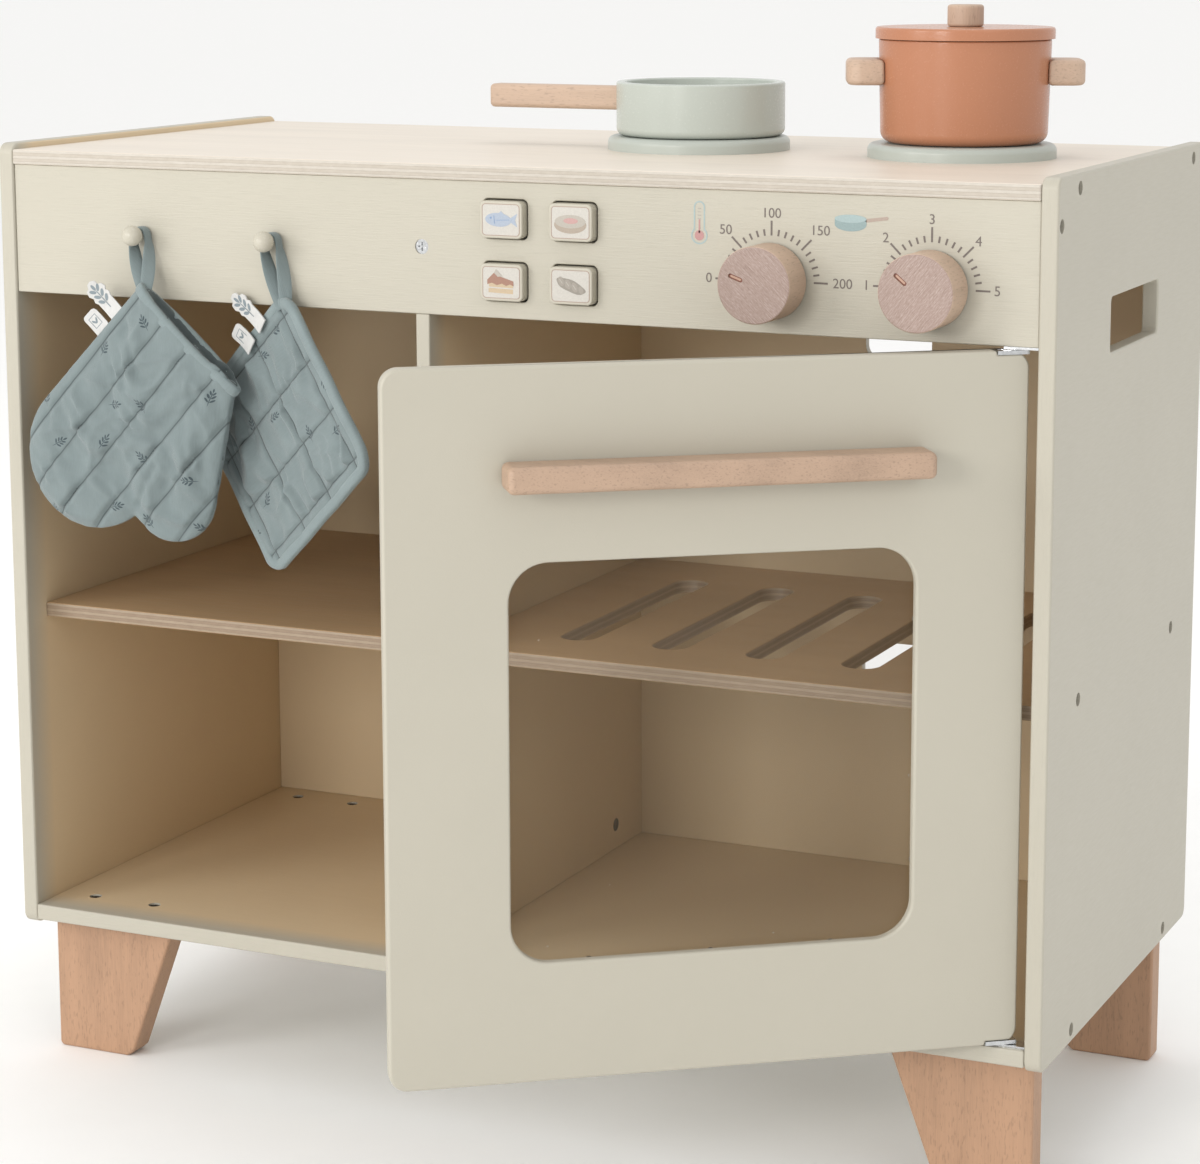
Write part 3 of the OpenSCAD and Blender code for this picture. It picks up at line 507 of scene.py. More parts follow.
def rounded_copy(node, width, material, segments=3):
    """A copy of a CAD node, standing for it. Its runs of sharp edges over 12 mm long are rounded over
    by width, in millimetres."""
    bm = bmesh.new()
    bm.from_mesh(frame["nodes"][node].data)
    bmesh.ops.remove_doubles(bm, verts=bm.verts, dist=2e-6)
    bmesh.ops.dissolve_limit(bm, angle_limit=math.radians(0.4), verts=bm.verts, edges=bm.edges)
    if width > 0:
        sharp = [e for e in bm.edges if len(e.link_faces) == 2 and e.calc_face_angle(0) > math.radians(32)]
        chosen = []
        for run in edge_groups(sharp):
            points = [v.co for e in run for v in e.verts]
            size = max(max(p[i] for p in points) - min(p[i] for p in points) for i in range(3))
            if size > 12 * MM:
                chosen += run
        bmesh.ops.bevel(bm, geom=chosen, offset=width * MM, segments=segments, profile=0.5,
                        affect="EDGES", clamp_overlap=False)
    mesh = bpy.data.meshes.new(node + "_finished")
    bm.to_mesh(mesh)
    bm.free()
    if "custom_normal" in mesh.attributes:
        mesh.attributes.remove(mesh.attributes["custom_normal"])
    piece = add_piece(node + "_finished", mesh, BODY_OF[node], SLOT_OF[node], material)
    if width > 0:
        weighted = piece.modifiers.new("flat_faces", "WEIGHTED_NORMAL")
        weighted.keep_sharp = True
    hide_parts(node)


def finished(bm, name):
    """The mesh of bm with its faces looking outwards. bm is used up."""
    bmesh.ops.recalc_face_normals(bm, faces=bm.faces)
    mesh = bpy.data.meshes.new(name)
    bm.to_mesh(mesh)
    bm.free()
    return mesh


def thickened(bm, faces, step):
    """Gives flat faces a thickness, by step."""
    made = bmesh.ops.extrude_face_region(bm, geom=faces)
    moved = [v for v in made["geom"] if isinstance(v, bmesh.types.BMVert)]
    bmesh.ops.translate(bm, verts=moved, vec=step)


def flats(name, outlines, y, material, body, slot, thick=0.12):
    """Thin shapes lying on a face that looks to the front. Each outline is a list of (x, z)."""
    bm = bmesh.new()
    for outline in outlines:
        front = [bm.verts.new((x, y - thick * MM, z)) for x, z in outline]
        back = [bm.verts.new((x, y + 0.02 * MM, z)) for x, z in outline]
        n = len(outline)
        bm.faces.new(front)
        bm.faces.new(back[::-1])
        for i in range(n):
            bm.faces.new((front[i], back[i], back[(i + 1) % n], front[(i + 1) % n]))
    add_piece(name, finished(bm, name), body, slot, material, 30)


def bands(name, rings, y, material, body, slot, thick=0.12):
    """Closed lines with a width. Each ring is (outer outline, inner outline) of the same length."""
    bm = bmesh.new()
    for outer, inner in rings:
        n = len(outer)
        layers = []
        for outline in (outer, inner):
            layers.append([bm.verts.new((x, y - thick * MM, z)) for x, z in outline])
        for i in range(n):
            j = (i + 1) % n
            bm.faces.new((layers[0][i], layers[0][j], layers[1][j], layers[1][i]))
    thickened(bm, list(bm.faces), (0, (thick + 0.02) * MM, 0))
    add_piece(name, finished(bm, name), body, slot, material, 30)


def oval(cx, cz, rx, rz, n=40, turn=0.0, wobble=0.0):
    """An ellipse of n points, turned by an angle and made uneven by wobble."""
    c, s = math.cos(turn), math.sin(turn)
    points = []
    for i in range(n):
        t = 2 * math.pi * i / n
        k = 1 + wobble * math.sin(5 * t)
        x, z = rx * k * math.cos(t), rz * k * math.sin(t)
        points.append((cx + x * c - z * s, cz + x * s + z * c))
    return points


def bar(x0, z0, x1, z1, width, rounded=True):
    """A straight stroke from one point to another, with round ends."""
    along = Vector((x1 - x0, z1 - z0))
    angle = math.atan2(along.y, along.x)
    points = []
    n = 6 if rounded else 1
    for end, start in (((x1, z1), -90), ((x0, z0), 90)):
        for i in range(n + 1):
            t = angle + math.radians(start + 180 * i / n)
            points.append((end[0] + width / 2 * math.cos(t), end[1] + width / 2 * math.sin(t)))
    return points


def spoke(centre, angle, inner, outer, width, rounded=True):
    """A stroke outwards from a knob's centre, its sizes in millimetres."""
    c, s = math.cos(angle) * MM, math.sin(angle) * MM
    return bar(centre.x + inner * c, centre.z + inner * s,
               centre.x + outer * c, centre.z + outer * s, width * MM, rounded)


def rectangle(cx, cz, w, h, r, n=6):
    """A rectangle with round corners of radius r."""
    points = []
    for sx, sz, start in ((1, 1, 0), (-1, 1, 90), (-1, -1, 180), (1, -1, 270)):
        for i in range(n + 1):
            t = math.radians(start + 90 * i / n)
            points.append((cx + sx * (w / 2 - r) + r * math.cos(t), cz + sz * (h / 2 - r) + r * math.sin(t)))
    return points


def shifted(outline, x, z):
    """An outline in millimetres moved to a place in metres."""
    return [(x + a * MM, z + b * MM) for a, b in outline]


def number(text, x, z, y):
    """The mesh of a printed number centred at x, z."""
    curve = bpy.data.curves.new("number", "FONT")
    curve.body = text
    curve.size = 6.9 * MM
    curve.align_x = "CENTER"
    curve.align_y = "CENTER"
    curve.extrude = 0.06 * MM
    holder = bpy.data.objects.new("number", curve)
    bpy.context.scene.collection.objects.link(holder)
    bpy.context.view_layer.update()
    graph = bpy.context.evaluated_depsgraph_get()
    mesh = bpy.data.meshes.new_from_object(holder.evaluated_get(graph))
    bpy.data.objects.remove(holder)
    mesh.transform(Matrix.Translation((x, y - 0.06 * MM, z)) @ Matrix.Rotation(math.pi / 2, 4, "X"))
    return mesh


def numbers(name, labels, y, material, body, slot):
    """All the numbers of a dial as one piece. labels holds (text, x, z)."""
    bm = bmesh.new()
    for text, x, z in labels:
        part = number(text, x, z, y)
        bm.from_mesh(part)
        bpy.data.meshes.remove(part)
    mesh = bpy.data.meshes.new(name)
    bm.to_mesh(mesh)
    bm.free()
    add_piece(name, mesh, body, slot, material, 30)


# ---- wooden and metal pieces --------------------------------------------------------------

def dress_cabinet():
    """The painted boards, the plywood worktop and shelves, the legs, the fittings and the door."""
    rounded_copy("left_side_panel", 1.3, paint("cream_left_side", CREAM, 0, inside=(1.0, 0.0, 0.0)))
    rounded_copy("right_side_panel", 1.3, paint("cream_right_side", CREAM, 0, inside=(-1.0, 0.0, 0.0)))
    rounded_copy("control_panel", 0.7, paint("cream_control_board", shade(CREAM, 1.03), 2))
    rounded_copy("divider", 0.8, paint("cream_divider", CREAM, 0, inside=(1.0, 0.0, 0.0), both=True))
    rounded_copy("bottom_panel", 0.8, paint("cream_bottom_board", CREAM, 2, inside=(0.0, 0.0, 1.0)))
    rounded_copy("back_panel", 0.6, paint("cream_back_board", CREAM, 1, inside=(0.0, -1.0, 0.0)))
    pale_plies = ((0.52, 0.48, 0.42), (0.44, 0.39, 0.325), (0.25, 0.20, 0.155))
    shelf_plies = ((0.345, 0.265, 0.185), (0.25, 0.175, 0.115), (0.13, 0.085, 0.05))
    # the shelf and the rack take the darker birch as painted shade
    for node, tone, plies in (("worktop", BIRCH, pale_plies), ("left_shelf", SHADED_BIRCH_INSIDE, shelf_plies),
                              ("oven_rack", SHADED_BIRCH_INSIDE, shelf_plies)):
        low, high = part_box(node)
        rounded_copy(node, 0.9, birch("birch_" + node, low.z, high.z, tone, plies))
    leg_wood = beech("beech_legs", 2, (0.43, 0.255, 0.155))
    for node in ("leg_front_left", "leg_front_right", "leg_rear_left", "leg_rear_right"):
        rounded_copy(node, 1.6, leg_wood)
    sage = paint("sage_paint", SAGE, None, 0.32)
    for node in ("hob_ring_left", "hob_ring_right"):
        rounded_copy(node, 0, sage)
    hook_paint = paint("hook_paint", shade(CREAM, 1.06), None, 0.24)
    for node in ("hook_left", "hook_right"):
        rounded_copy(node, 0, hook_paint)
    rounded_copy("button_housing", 0.5, plastic("housing_plastic", (0.72, 0.70, 0.66)))
    steel = metal("zinc_steel", (0.70, 0.70, 0.71), 0.3)
    chrome = metal("bright_steel", (0.56, 0.57, 0.58), 0.2)
    dark = metal("dark_screws", (0.06, 0.05, 0.045), 0.5)
    dowel = beech("beech_dowels", 0)
    cad_materials = {
        "side_screws": dark, "leg_screws": dark, "back_screws": dark, "shelf_dowels": dowel,
        "divider_bolts": dark, "control_panel_screw": chrome, "hob_ring_screws": steel,
        "hinge_plate_top": chrome, "hinge_plate_bottom": chrome, "hinge_plate_screws": chrome,
        "hinge_leaves": chrome, "hinge_leaf_screws": chrome, "button_housing_screws": steel,
        "button_springs": steel, "temperature_knob_screw": steel, "hob_knob_screw": steel,
        "pane_screws": steel, "door_handle_screws": steel, "pan_handle_screw": steel,
        "pot_handle_screws": steel, "lid_screw": steel,
    }
    for node, material in cad_materials.items():
        rounded_copy(node, 0, material)
    rounded_copy("door_panel", 1.5, paint("cream_door_board", CREAM, 1))
    rounded_copy("window_pane", 0, pane())
    rounded_copy("door_handle", 3.2, beech("beech_handle", 0, (0.42, 0.29, 0.205)), 5)


def dress_pans():
    """The saucepan and the pot with its lid."""
    sage = paint("sage_pan_paint", shade(SAGE, 1.06), None, 0.23)
    terracotta = paint("terracotta_paint", TERRACOTTA, None, 0.23)
    rounded_copy("pan_body", 1.1, sage)
    rounded_copy("pan_handle", 2.6, beech("beech_pan_handle", 0), 5)
    rounded_copy("pot_body", 1.0, terracotta)
    rounded_copy("pot_handles", 2.6, beech("beech_pot_handles", 0), 5)
    rounded_copy("pot_lid", 0, terracotta)
    rounded_copy("lid_knob", 1.6, beech("beech_lid_knob", 2, shade(BEECH, 0.95)), 4)


def dress_knobs():
    """Beech knobs, with the slot in each one's face painted round a bare floor."""
    mark_paint = ink("knob_mark", (0.19, 0.07, 0.045))
    floor_paint = ink("knob_mark_floor", (0.46, 0.29, 0.21))
    for node, angle, streak in (("temperature_knob", 160, -0.75), ("hob_knob", 140, 0.9)):
        rounded_copy(node, 0.8, beech("beech_" + node, 1, shade(BEECH, 1.02), 1, streak), 3)
        low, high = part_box(node)
        centre = (low + high) / 2
        slot = spoke(centre, math.radians(angle), 7.15, 12.85, 2.2)
        floor = spoke(centre, math.radians(angle), 7.5, 12.5, 1.0)
        flats(node + "_mark", [slot], low.y + 1.0 * MM, mark_paint, BODY_OF[node], "beech", 0.25)
        flats(node + "_mark_floor", [floor], low.y + 0.76 * MM, floor_paint, BODY_OF[node], "beech", 0.05)


def dress_dials():
    """Half a ring of ticks over each knob, with a number at every fifth tick."""
    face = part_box("control_panel")[0].y
    print_ink = ink("dial_ink", INK)
    labels = {"temperature": ("0", "50", "100", "150", "200"), "hob": ("1", "2", "3", "4", "5")}
    further_out = {1: 0, 2: 1.6, 3: 4.16}       # how far wide numbers move out at the sides
    for which, texts in labels.items():
        low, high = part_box(which + "_knob")
        centre = (low + high) / 2
        ticks, words = [], []
        for i in range(21):
            outer = 29.7 if i % 5 == 0 else 25.6
            ticks.append(spoke(centre, math.radians(180 - 9 * i), 22.4, outer, 0.95, False))
        for i, text in enumerate(texts):
            t = math.radians(180 - 45 * i)
            reach = (33.2 + further_out[len(text)] * abs(math.cos(t))) * MM
            words.append((text, centre.x + reach * math.cos(t), centre.z + reach * math.sin(t)))
        flats(which + "_dial_ticks", ticks, face, print_ink, "cabinet", "cream_paint")
        numbers(which + "_dial_numbers", words, face, print_ink, "cabinet", "cream_paint")


def dress_icons():
    """A thermometer beside the temperature dial and a small pan beside the hob dial."""
    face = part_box("control_panel")[0].y
    pale, red = ink("icon_pale_blue", (0.33, 0.42, 0.42)), ink("icon_red", (0.45, 0.24, 0.23))
    grey = ink("icon_grey", (0.36, 0.33, 0.30))
    teal, wood = ink("icon_teal", (0.25, 0.33, 0.33)), ink("icon_wood", (0.38, 0.30, 0.25))

    def printed(name, outlines, material, y=face):
        flats(name, outlines, y, material, "cabinet", "cream_paint")

    low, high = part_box("temperature_knob")
    x, z = (low.x + high.x) / 2 - 38.4 * MM, (low.z + high.z) / 2 + 27.5 * MM
    stem = (shifted(thermometer(3.0, 4.4), x, z), shifted(thermometer(2.3, 3.7), x, z))
    bands("thermometer_outline", [stem], face, pale, "cabinet", "cream_paint")
    bulb = [oval(x, z - 6.6 * MM, 2.5 * MM, 2.5 * MM), bar(x, z - 5 * MM, x, z + 1 * MM, 0.8 * MM)]
    printed("thermometer_filling", bulb, red)
    heights = [z + 1.7 * k * MM for k in range(1, 5)]
    steps = [bar(x - 0.9 * MM, h, x + 0.9 * MM, h, 0.35 * MM, False) for h in heights]
    printed("thermometer_steps", steps, grey)

    low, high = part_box("hob_knob")
    x, z = (low.x + high.x) / 2 - 41.6 * MM, (low.z + high.z) / 2 + 30.3 * MM
    belly = [math.pi + math.pi * i / 16 for i in range(17)]
    body = [(-8.2, 1.6), *((8.2 * math.cos(t), -1.0 + 3.3 * math.sin(t)) for t in belly), (8.2, 1.6)]
    printed("pan_icon_body", [shifted(body, x, z)], teal)
    printed("pan_icon_rim", [oval(x, z + 1.8 * MM, 8.2 * MM, 2.0 * MM)], pale, face - 0.1 * MM)
    handle = bar(x + 8.4 * MM, z + 1.2 * MM, x + 18.6 * MM, z + 2.6 * MM, 1.7 * MM)
    printed("pan_icon_handle", [handle], wood)


def thermometer(half, bulb):
    """Outline of a thermometer about its middle, in millimetres."""
    points = []
    for i in range(13):
        t = math.pi * i / 12
        points.append((half * math.cos(t), 7.5 + half * math.sin(t)))
    open_angle = math.asin(half / bulb)
    for i in range(25):
        t = math.pi / 2 + open_angle + (2 * math.pi - 2 * open_angle) * i / 24
        points.append((bulb * math.cos(t), -6.6 + bulb * math.sin(t)))
    return points


def dress_buttons():
    """Painted button caps, each with a framed picture in layers. The pictures are in millimetres."""
    cap_paint = paint("button_paint", shade(CREAM, 1.07), None, 0.4)
    frame_ink = ink("button_frame_ink", (0.34, 0.22, 0.18))
    panel_ink = ink("button_panel", (0.53, 0.505, 0.46))
    blue, dark_blue = ink("fish_blue", (0.35, 0.40, 0.48)), ink("fish_line", (0.20, 0.29, 0.45))
    beige, pink = ink("ham_beige", (0.37, 0.31, 0.25)), ink("ham_pink", (0.49, 0.30, 0.28))
    brown, yellow = ink("cake_brown", (0.32, 0.175, 0.125)), ink("cake_cream", (0.50, 0.39, 0.26))
    grey, pale = ink("bread_grey", (0.27, 0.245, 0.21)), ink("bread_cut", (0.42, 0.385, 0.335))
    shade_ink = ink("bread_shade", (0.32, 0.29, 0.25))
    art = {
        "button_fish": [
            ("tail", blue, [[(4.2, 0.5), (8.4, 3.1), (7.3, 0), (8.4, -3.1), (4.2, -0.5)]]),
            ("body", blue, [oval(-1.2, 0, 6.6, 3.1, 40, -0.05)]),
            ("fin", blue, [[(-1.6, 2.5), (2.0, 2.3), (0.2, 4.0)]]),
            ("lines", dark_blue, [oval(-5.0, 0.8, 0.5, 0.5, 16), bar(-3.4, 1.7, -3.1, -1.7, 0.3),
                                  bar(-2.4, -0.2, 4.4, 0.1, 0.22)]),
        ],
        "button_ham": [
            ("body", beige, [oval(0, -1.0, 8.0, 3.9)]),
            ("top", pale, [oval(0, 0.5, 7.6, 3.0)]),
            ("meat", pink, [oval(0.3, 0.8, 3.6, 1.3)]),
        ],
        "button_cake": [
            ("layers", yellow, [[(-6.4, -4.6), (6.0, -5.0), (6.0, -2.9), (-6.4, -2.6)],
                                [(-6.2, -2.0), (6.0, -2.3), (6.0, -0.6), (-6.2, -0.3)]]),
            ("glaze", brown, [[(-7.0, 1.2), (-3.6, 4.4), (-1.8, 3.2), (6.2, 0.8), (6.3, -1.4), (4.4, -0.6),
                               (2.6, -1.4), (0.4, -0.4), (-2.2, -1.2), (-4.6, -0.2), (-7.0, -0.9)]]),
            ("cream", pale, [[(-3.6, 4.4), (-2.6, 6.1), (-0.4, 4.0), (0.8, 3.0), (-1.6, 2.6)]]),
        ],
        "button_bread": [
            ("loaf", grey, [oval(0.2, 0, 7.6, 2.7, 60, -0.36, 0.04)]),
            ("knots", shade_ink, [oval(-4.6, 2.0, 2.2, 1.5, 24, -1.2), oval(-1.3, 0.8, 2.3, 1.5, 24, -1.2),
                                  oval(2.1, -0.5, 2.3, 1.5, 24, -1.2), oval(5.2, -1.6, 1.8, 1.2, 24, -1.2)]),
            ("cuts", pale, [bar(-5.3, 2.9, -4.0, 1.2, 0.4), bar(-2.0, 1.7, -0.7, 0.0, 0.4),
                            bar(1.4, 0.4, 2.7, -1.3, 0.4)]),
        ],
    }
    enlarged = 1.12
    for node, layers in art.items():
        rounded_copy(node, 0.8, cap_paint, 4)
        low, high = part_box(node)
        x, z = (low.x + high.x) / 2, (low.z + high.z) / 2
        body = BODY_OF[node]
        outer, inner, panel = (shifted(rectangle(0, 0, 5 + size, size, r), x, z)
                               for size, r in ((16.2, 2.0), (15.7, 1.8), (15.5, 1.7)))
        flats(node + "_panel", [panel], low.y, panel_ink, body, "button_print", 0.06)
        bands(node + "_frame", [(outer, inner)], low.y, frame_ink, body, "button_print", 0.1)
        for i, (part, material, outlines) in enumerate(layers):
            placed = [shifted([(enlarged * a, enlarged * b) for a, b in o], x, z) for o in outlines]
            flats(f"{node}_{part}", placed, low.y, material, body, "button_print", 0.12 + 0.05 * i)


# ---- textiles -----------------------------------------------------------------------------

def outline_points(node, normal):
    """Points about a millimetre apart round the outline of a CAD slab that looks along normal."""
    mesh = frame["nodes"][node].data
    bm = bmesh.new()
    bm.from_mesh(mesh)
    bmesh.ops.remove_doubles(bm, verts=bm.verts, dist=2e-6)
    front = min(v.co.dot(normal) for v in bm.verts)
    on_front = {f for f in bm.faces if all(v.co.dot(normal) - front < 1e-5 for v in f.verts)}
    points = []
    for edge in bm.edges:
        if sum(f in on_front for f in edge.link_faces) == 1:
            a, b = edge.verts[0].co, edge.verts[1].co
            count = max(1, int((b - a).length / MM))
            points += [a.lerp(b, i / count) for i in range(count)]
    bm.free()
    return points


def tree_of(points):
    """A search tree over points."""
    tree = kdtree.KDTree(len(points))
    for i, point in enumerate(points):
        tree.insert(point, i)
    tree.balance()
    return tree


def remeshed(name, node, voxel, reshape):
    """A copy of a CAD solid on an even grid of faces, after reshape has moved its vertices."""
    mesh = frame["nodes"][node].data.copy()
    mesh.materials.clear()
    piece = bpy.data.objects.new(name, mesh)
    bpy.context.scene.collection.objects.link(piece)
    grid = piece.modifiers.new("grid", "REMESH")
    grid.mode = "VOXEL"
    grid.voxel_size = voxel
    bpy.context.view_layer.update()
    graph = bpy.context.evaluated_depsgraph_get()
    fine = bpy.data.meshes.new_from_object(piece.evaluated_get(graph))
    piece.modifiers.clear()
    piece.data = fine
    for vertex in fine.vertices:
        vertex.co = reshape(vertex.co)
    return piece


def swell(piece, held, limit):
    """Blows the piece up like padding between the places where held is near 1, by up to limit."""
    last = 20
    mesh = piece.data
    start = [v.co.copy() for v in mesh.vertices]
    group = piece.vertex_groups.new(name="sewn")
    for vertex in mesh.vertices:
        group.add([vertex.index], held(vertex.co), "REPLACE")
    cloth = piece.modifiers.new("cloth", "CLOTH")
    cloth.settings.quality = 6
    cloth.settings.mass = 0.25
    cloth.settings.tension_stiffness = 12
    cloth.settings.compression_stiffness = 8
    cloth.settings.bending_stiffness = 0.4
    cloth.settings.use_pressure = True
    cloth.settings.uniform_pressure_force = 5.0
    cloth.settings.effector_weights.gravity = 0
    cloth.settings.vertex_group_mass = "sewn"
    cloth.settings.pin_stiffness = 1.0
    cloth.point_cache.frame_start = 1
    cloth.point_cache.frame_end = last
    scene = bpy.context.scene
    for step in range(1, last + 1):
        scene.frame_set(step)
    graph = bpy.context.evaluated_depsgraph_get()
    moved = [v.co.copy() for v in piece.evaluated_get(graph).data.vertices]
    piece.modifiers.clear()
    piece.vertex_groups.clear()
    scene.frame_set(1)
    for vertex, before, after in zip(mesh.vertices, start, moved):
        step = after - before
        step = step.normalized() * min(step.length, limit)
        vertex.co = before + step


def divided(piece):
    """One level of subdivision, applied."""
    level = piece.modifiers.new("finer", "SUBSURF")
    level.levels = level.render_levels = 1
    bpy.context.view_layer.update()
    graph = bpy.context.evaluated_depsgraph_get()
    fine = bpy.data.meshes.new_from_object(piece.evaluated_get(graph))
    piece.modifiers.clear()
    piece.data = fine
    return fine


def near(distance, reach):
    """1 at no distance, falling to 0 past reach."""
    return math.exp(-(distance / reach) ** 2)


def away_from_lines(point, quilts):
    """Distance of a point from the nearest stitch line."""
    nearest = 1.0
    for axis, offset, spacing in quilts:
        at = (point.dot(axis) - offset) / spacing
        nearest = min(nearest, abs(at - round(at)) * spacing)
    return nearest


def from_segment(p, a, b):
    """Distance of p from the straight line between a and b, all seen along Y."""
    ab, ap = Vector((b[0] - a[0], b[1] - a[1])), Vector((p.x - a[0], p.z - a[1]))
    t = min(1.0, max(0.0, ap.dot(ab) / ab.length_squared))
    return (ap - ab * t).length


def sew(mesh, quilts, wrinkle, facing, border, seams=()):
    """Stitched channels, puckers across them and soft creases, moved along the normals.
    border gives a point's distance from the sewn edge, where the cloth lies calm."""
    normals = [v.normal.copy() for v in mesh.vertices]
    axis = quilts[0][0]
    other = facing.cross(axis).normalized()
    for vertex, normal in zip(mesh.vertices, normals):
        p = vertex.co
        side = abs(normal.dot(facing))
        away = away_from_lines(p, quilts)
        line, beside = near(away, 1.3 * MM), near(away, 7 * MM)
        u, v = p.dot(axis), p.dot(other)
        bend = noise.noise(Vector((u * 30, v * 30, 5.0)))
        pucker = noise.noise(Vector((u * 42 + bend, v * 165 + bend * 2.5, 1.0)))
        fold = noise.noise(Vector((u * 26 + 4, v * 60 + 2 * bend, 8.0)))
        ridge = (1 - abs(noise.noise(Vector((u * 34 + v * 22, v * 38 - u * 12, 3.0))))) ** 5
        lift = wrinkle * (0.95 * pucker * (0.35 + 0.65 * beside) + 0.9 * fold + 0.8 * ridge - 0.25)
        lift *= (1 - 0.75 * line) * (1 - near(border(p), 7 * MM))
        for a, b in seams:
            lift -= 1.8 * MM * near(from_segment(p, a, b), 2.0 * MM)
        vertex.co = p + normal * side * (lift - 1.35 * MM * line)


def squared(value, power):
    """value moved towards 1 or -1, which makes a round shape squarer."""
    return math.copysign(abs(value) ** power, value)


def swept(name, path, sides, ups, half_widths, half_t, body, material, closed=True):
    """A soft strip along a path, with a half width along ups at each point and half_t along sides."""
    bm = bmesh.new()
    rings = []
    around = 12
    for p, side, up, half_w in zip(path, sides, ups, half_widths):
        ring = []
        for k in range(around):
            a = 2 * math.pi * (k + 0.5) / around
            wide, thick = squared(math.cos(a), 0.6), squared(math.sin(a), 0.6)
            ring.append(bm.verts.new(p + up * half_w * wide + side * half_t * thick))
        rings.append(ring)
    count = len(rings)
    for i in range(count if closed else count - 1):
        a, b = rings[i], rings[(i + 1) % count]
        for k in range(around):
            bm.faces.new((a[k], a[(k + 1) % around], b[(k + 1) % around], b[k]))
    if not closed:
        bm.faces.new(rings[0])
        bm.faces.new(rings[-1][::-1])
    return add_piece(name, finished(bm, name), body, "print_fabric", material, 60)


def label(name, origin, along, across, normal, tag, body, bend):
    """A stitched-in tag that curls by bend, with a small mark. tag is its outline and its mark."""
    outline, mark = tag
    length = max(x for x, _ in outline)

    def add(part, bm, material, angle):
        for v in bm.verts:
            lift = v.co.z + bend * v.co.x * v.co.x / length
            v.co = origin + (along * v.co.x + across * v.co.y + normal * lift) * MM
        mesh = bpy.data.meshes.new(part)
        bm.to_mesh(mesh)
        bm.free()
        add_piece(part, mesh, body, "print_fabric", material, angle)

    bm = bmesh.new()
    face = bm.faces.new([bm.verts.new((x, y, 0)) for x, y in outline])
    thickened(bm, [face], (0, 0, 0.7))
    bmesh.ops.triangulate(bm, faces=[f for f in bm.faces if len(f.verts) > 4])
    bmesh.ops.subdivide_edges(bm, edges=bm.edges, cuts=2, use_grid_fill=True)
    bmesh.ops.recalc_face_normals(bm, faces=bm.faces)
    cloth = fabric(name + "_cloth", (1, 0, 0), (0, 0, 1), sprigs=False, colour=WHITE_TAPE, thread=0.0004)
    add(name, bm, cloth, 40)

    marks = bmesh.new()
    for shape in mark:
        marks.faces.new([marks.verts.new((x, y, 0.78)) for x, y in shape])
    thickened(marks, list(marks.faces), (0, 0, -0.12))
    bmesh.ops.recalc_face_normals(marks, faces=marks.faces)
    add(name + "_mark", marks, ink(name + "_print", TAG_INK), 30)


def leaf_tag():
    """A tag whose far end is cut round a sprig: outline and mark."""
    outline = [(-4, -4.6), (9, -4.6), (11, -5.6), (13, -4.6), (14.5, -6.0), (17, -5.4), (18, -3.4),
               (20.5, -3.4), (21.8, -1.2), (21.5, 1.4), (19.6, 2.8), (19.2, 4.8), (16.4, 5.8), (14, 4.6),
               (12, 5.6), (10, 4.6), (-4, 4.6)]
    leaves = [bar(4.5, 0, 16, 0, 0.5)]
    for x in (8.5, 12, 15.5):
        leaves.append(oval(x + 1.2, 2.1, 2.1, 0.95, 16, 0.75))
        leaves.append(oval(x + 1.2, -2.1, 2.1, 0.95, 16, -0.75))
    leaves.append(oval(18.2, 0, 1.9, 0.9, 16))
    return outline, leaves


def square_tag():
    """A tag with two cut corners and two leaves in a frame: outline and mark."""
    outline = [(-4, -5), (9.4, -5), (10.8, -4.4), (11.4, -3.2), (11.4, 3.2), (10.8, 4.4), (9.4, 5), (-4, 5)]
    uprights = [bar(x, -2.6, x, 2.6, 0.35) for x in (2.4, 8.6)]
    level = [bar(2.4, y, 8.6, y, 0.35) for y in (2.6, -2.6)]
    leaves = [oval(5.5, 0.9, 1.7, 0.6, 16, 0.6), oval(5.5, -0.9, 1.7, 0.6, 16, -0.6)]
    return outline, uprights + level + leaves


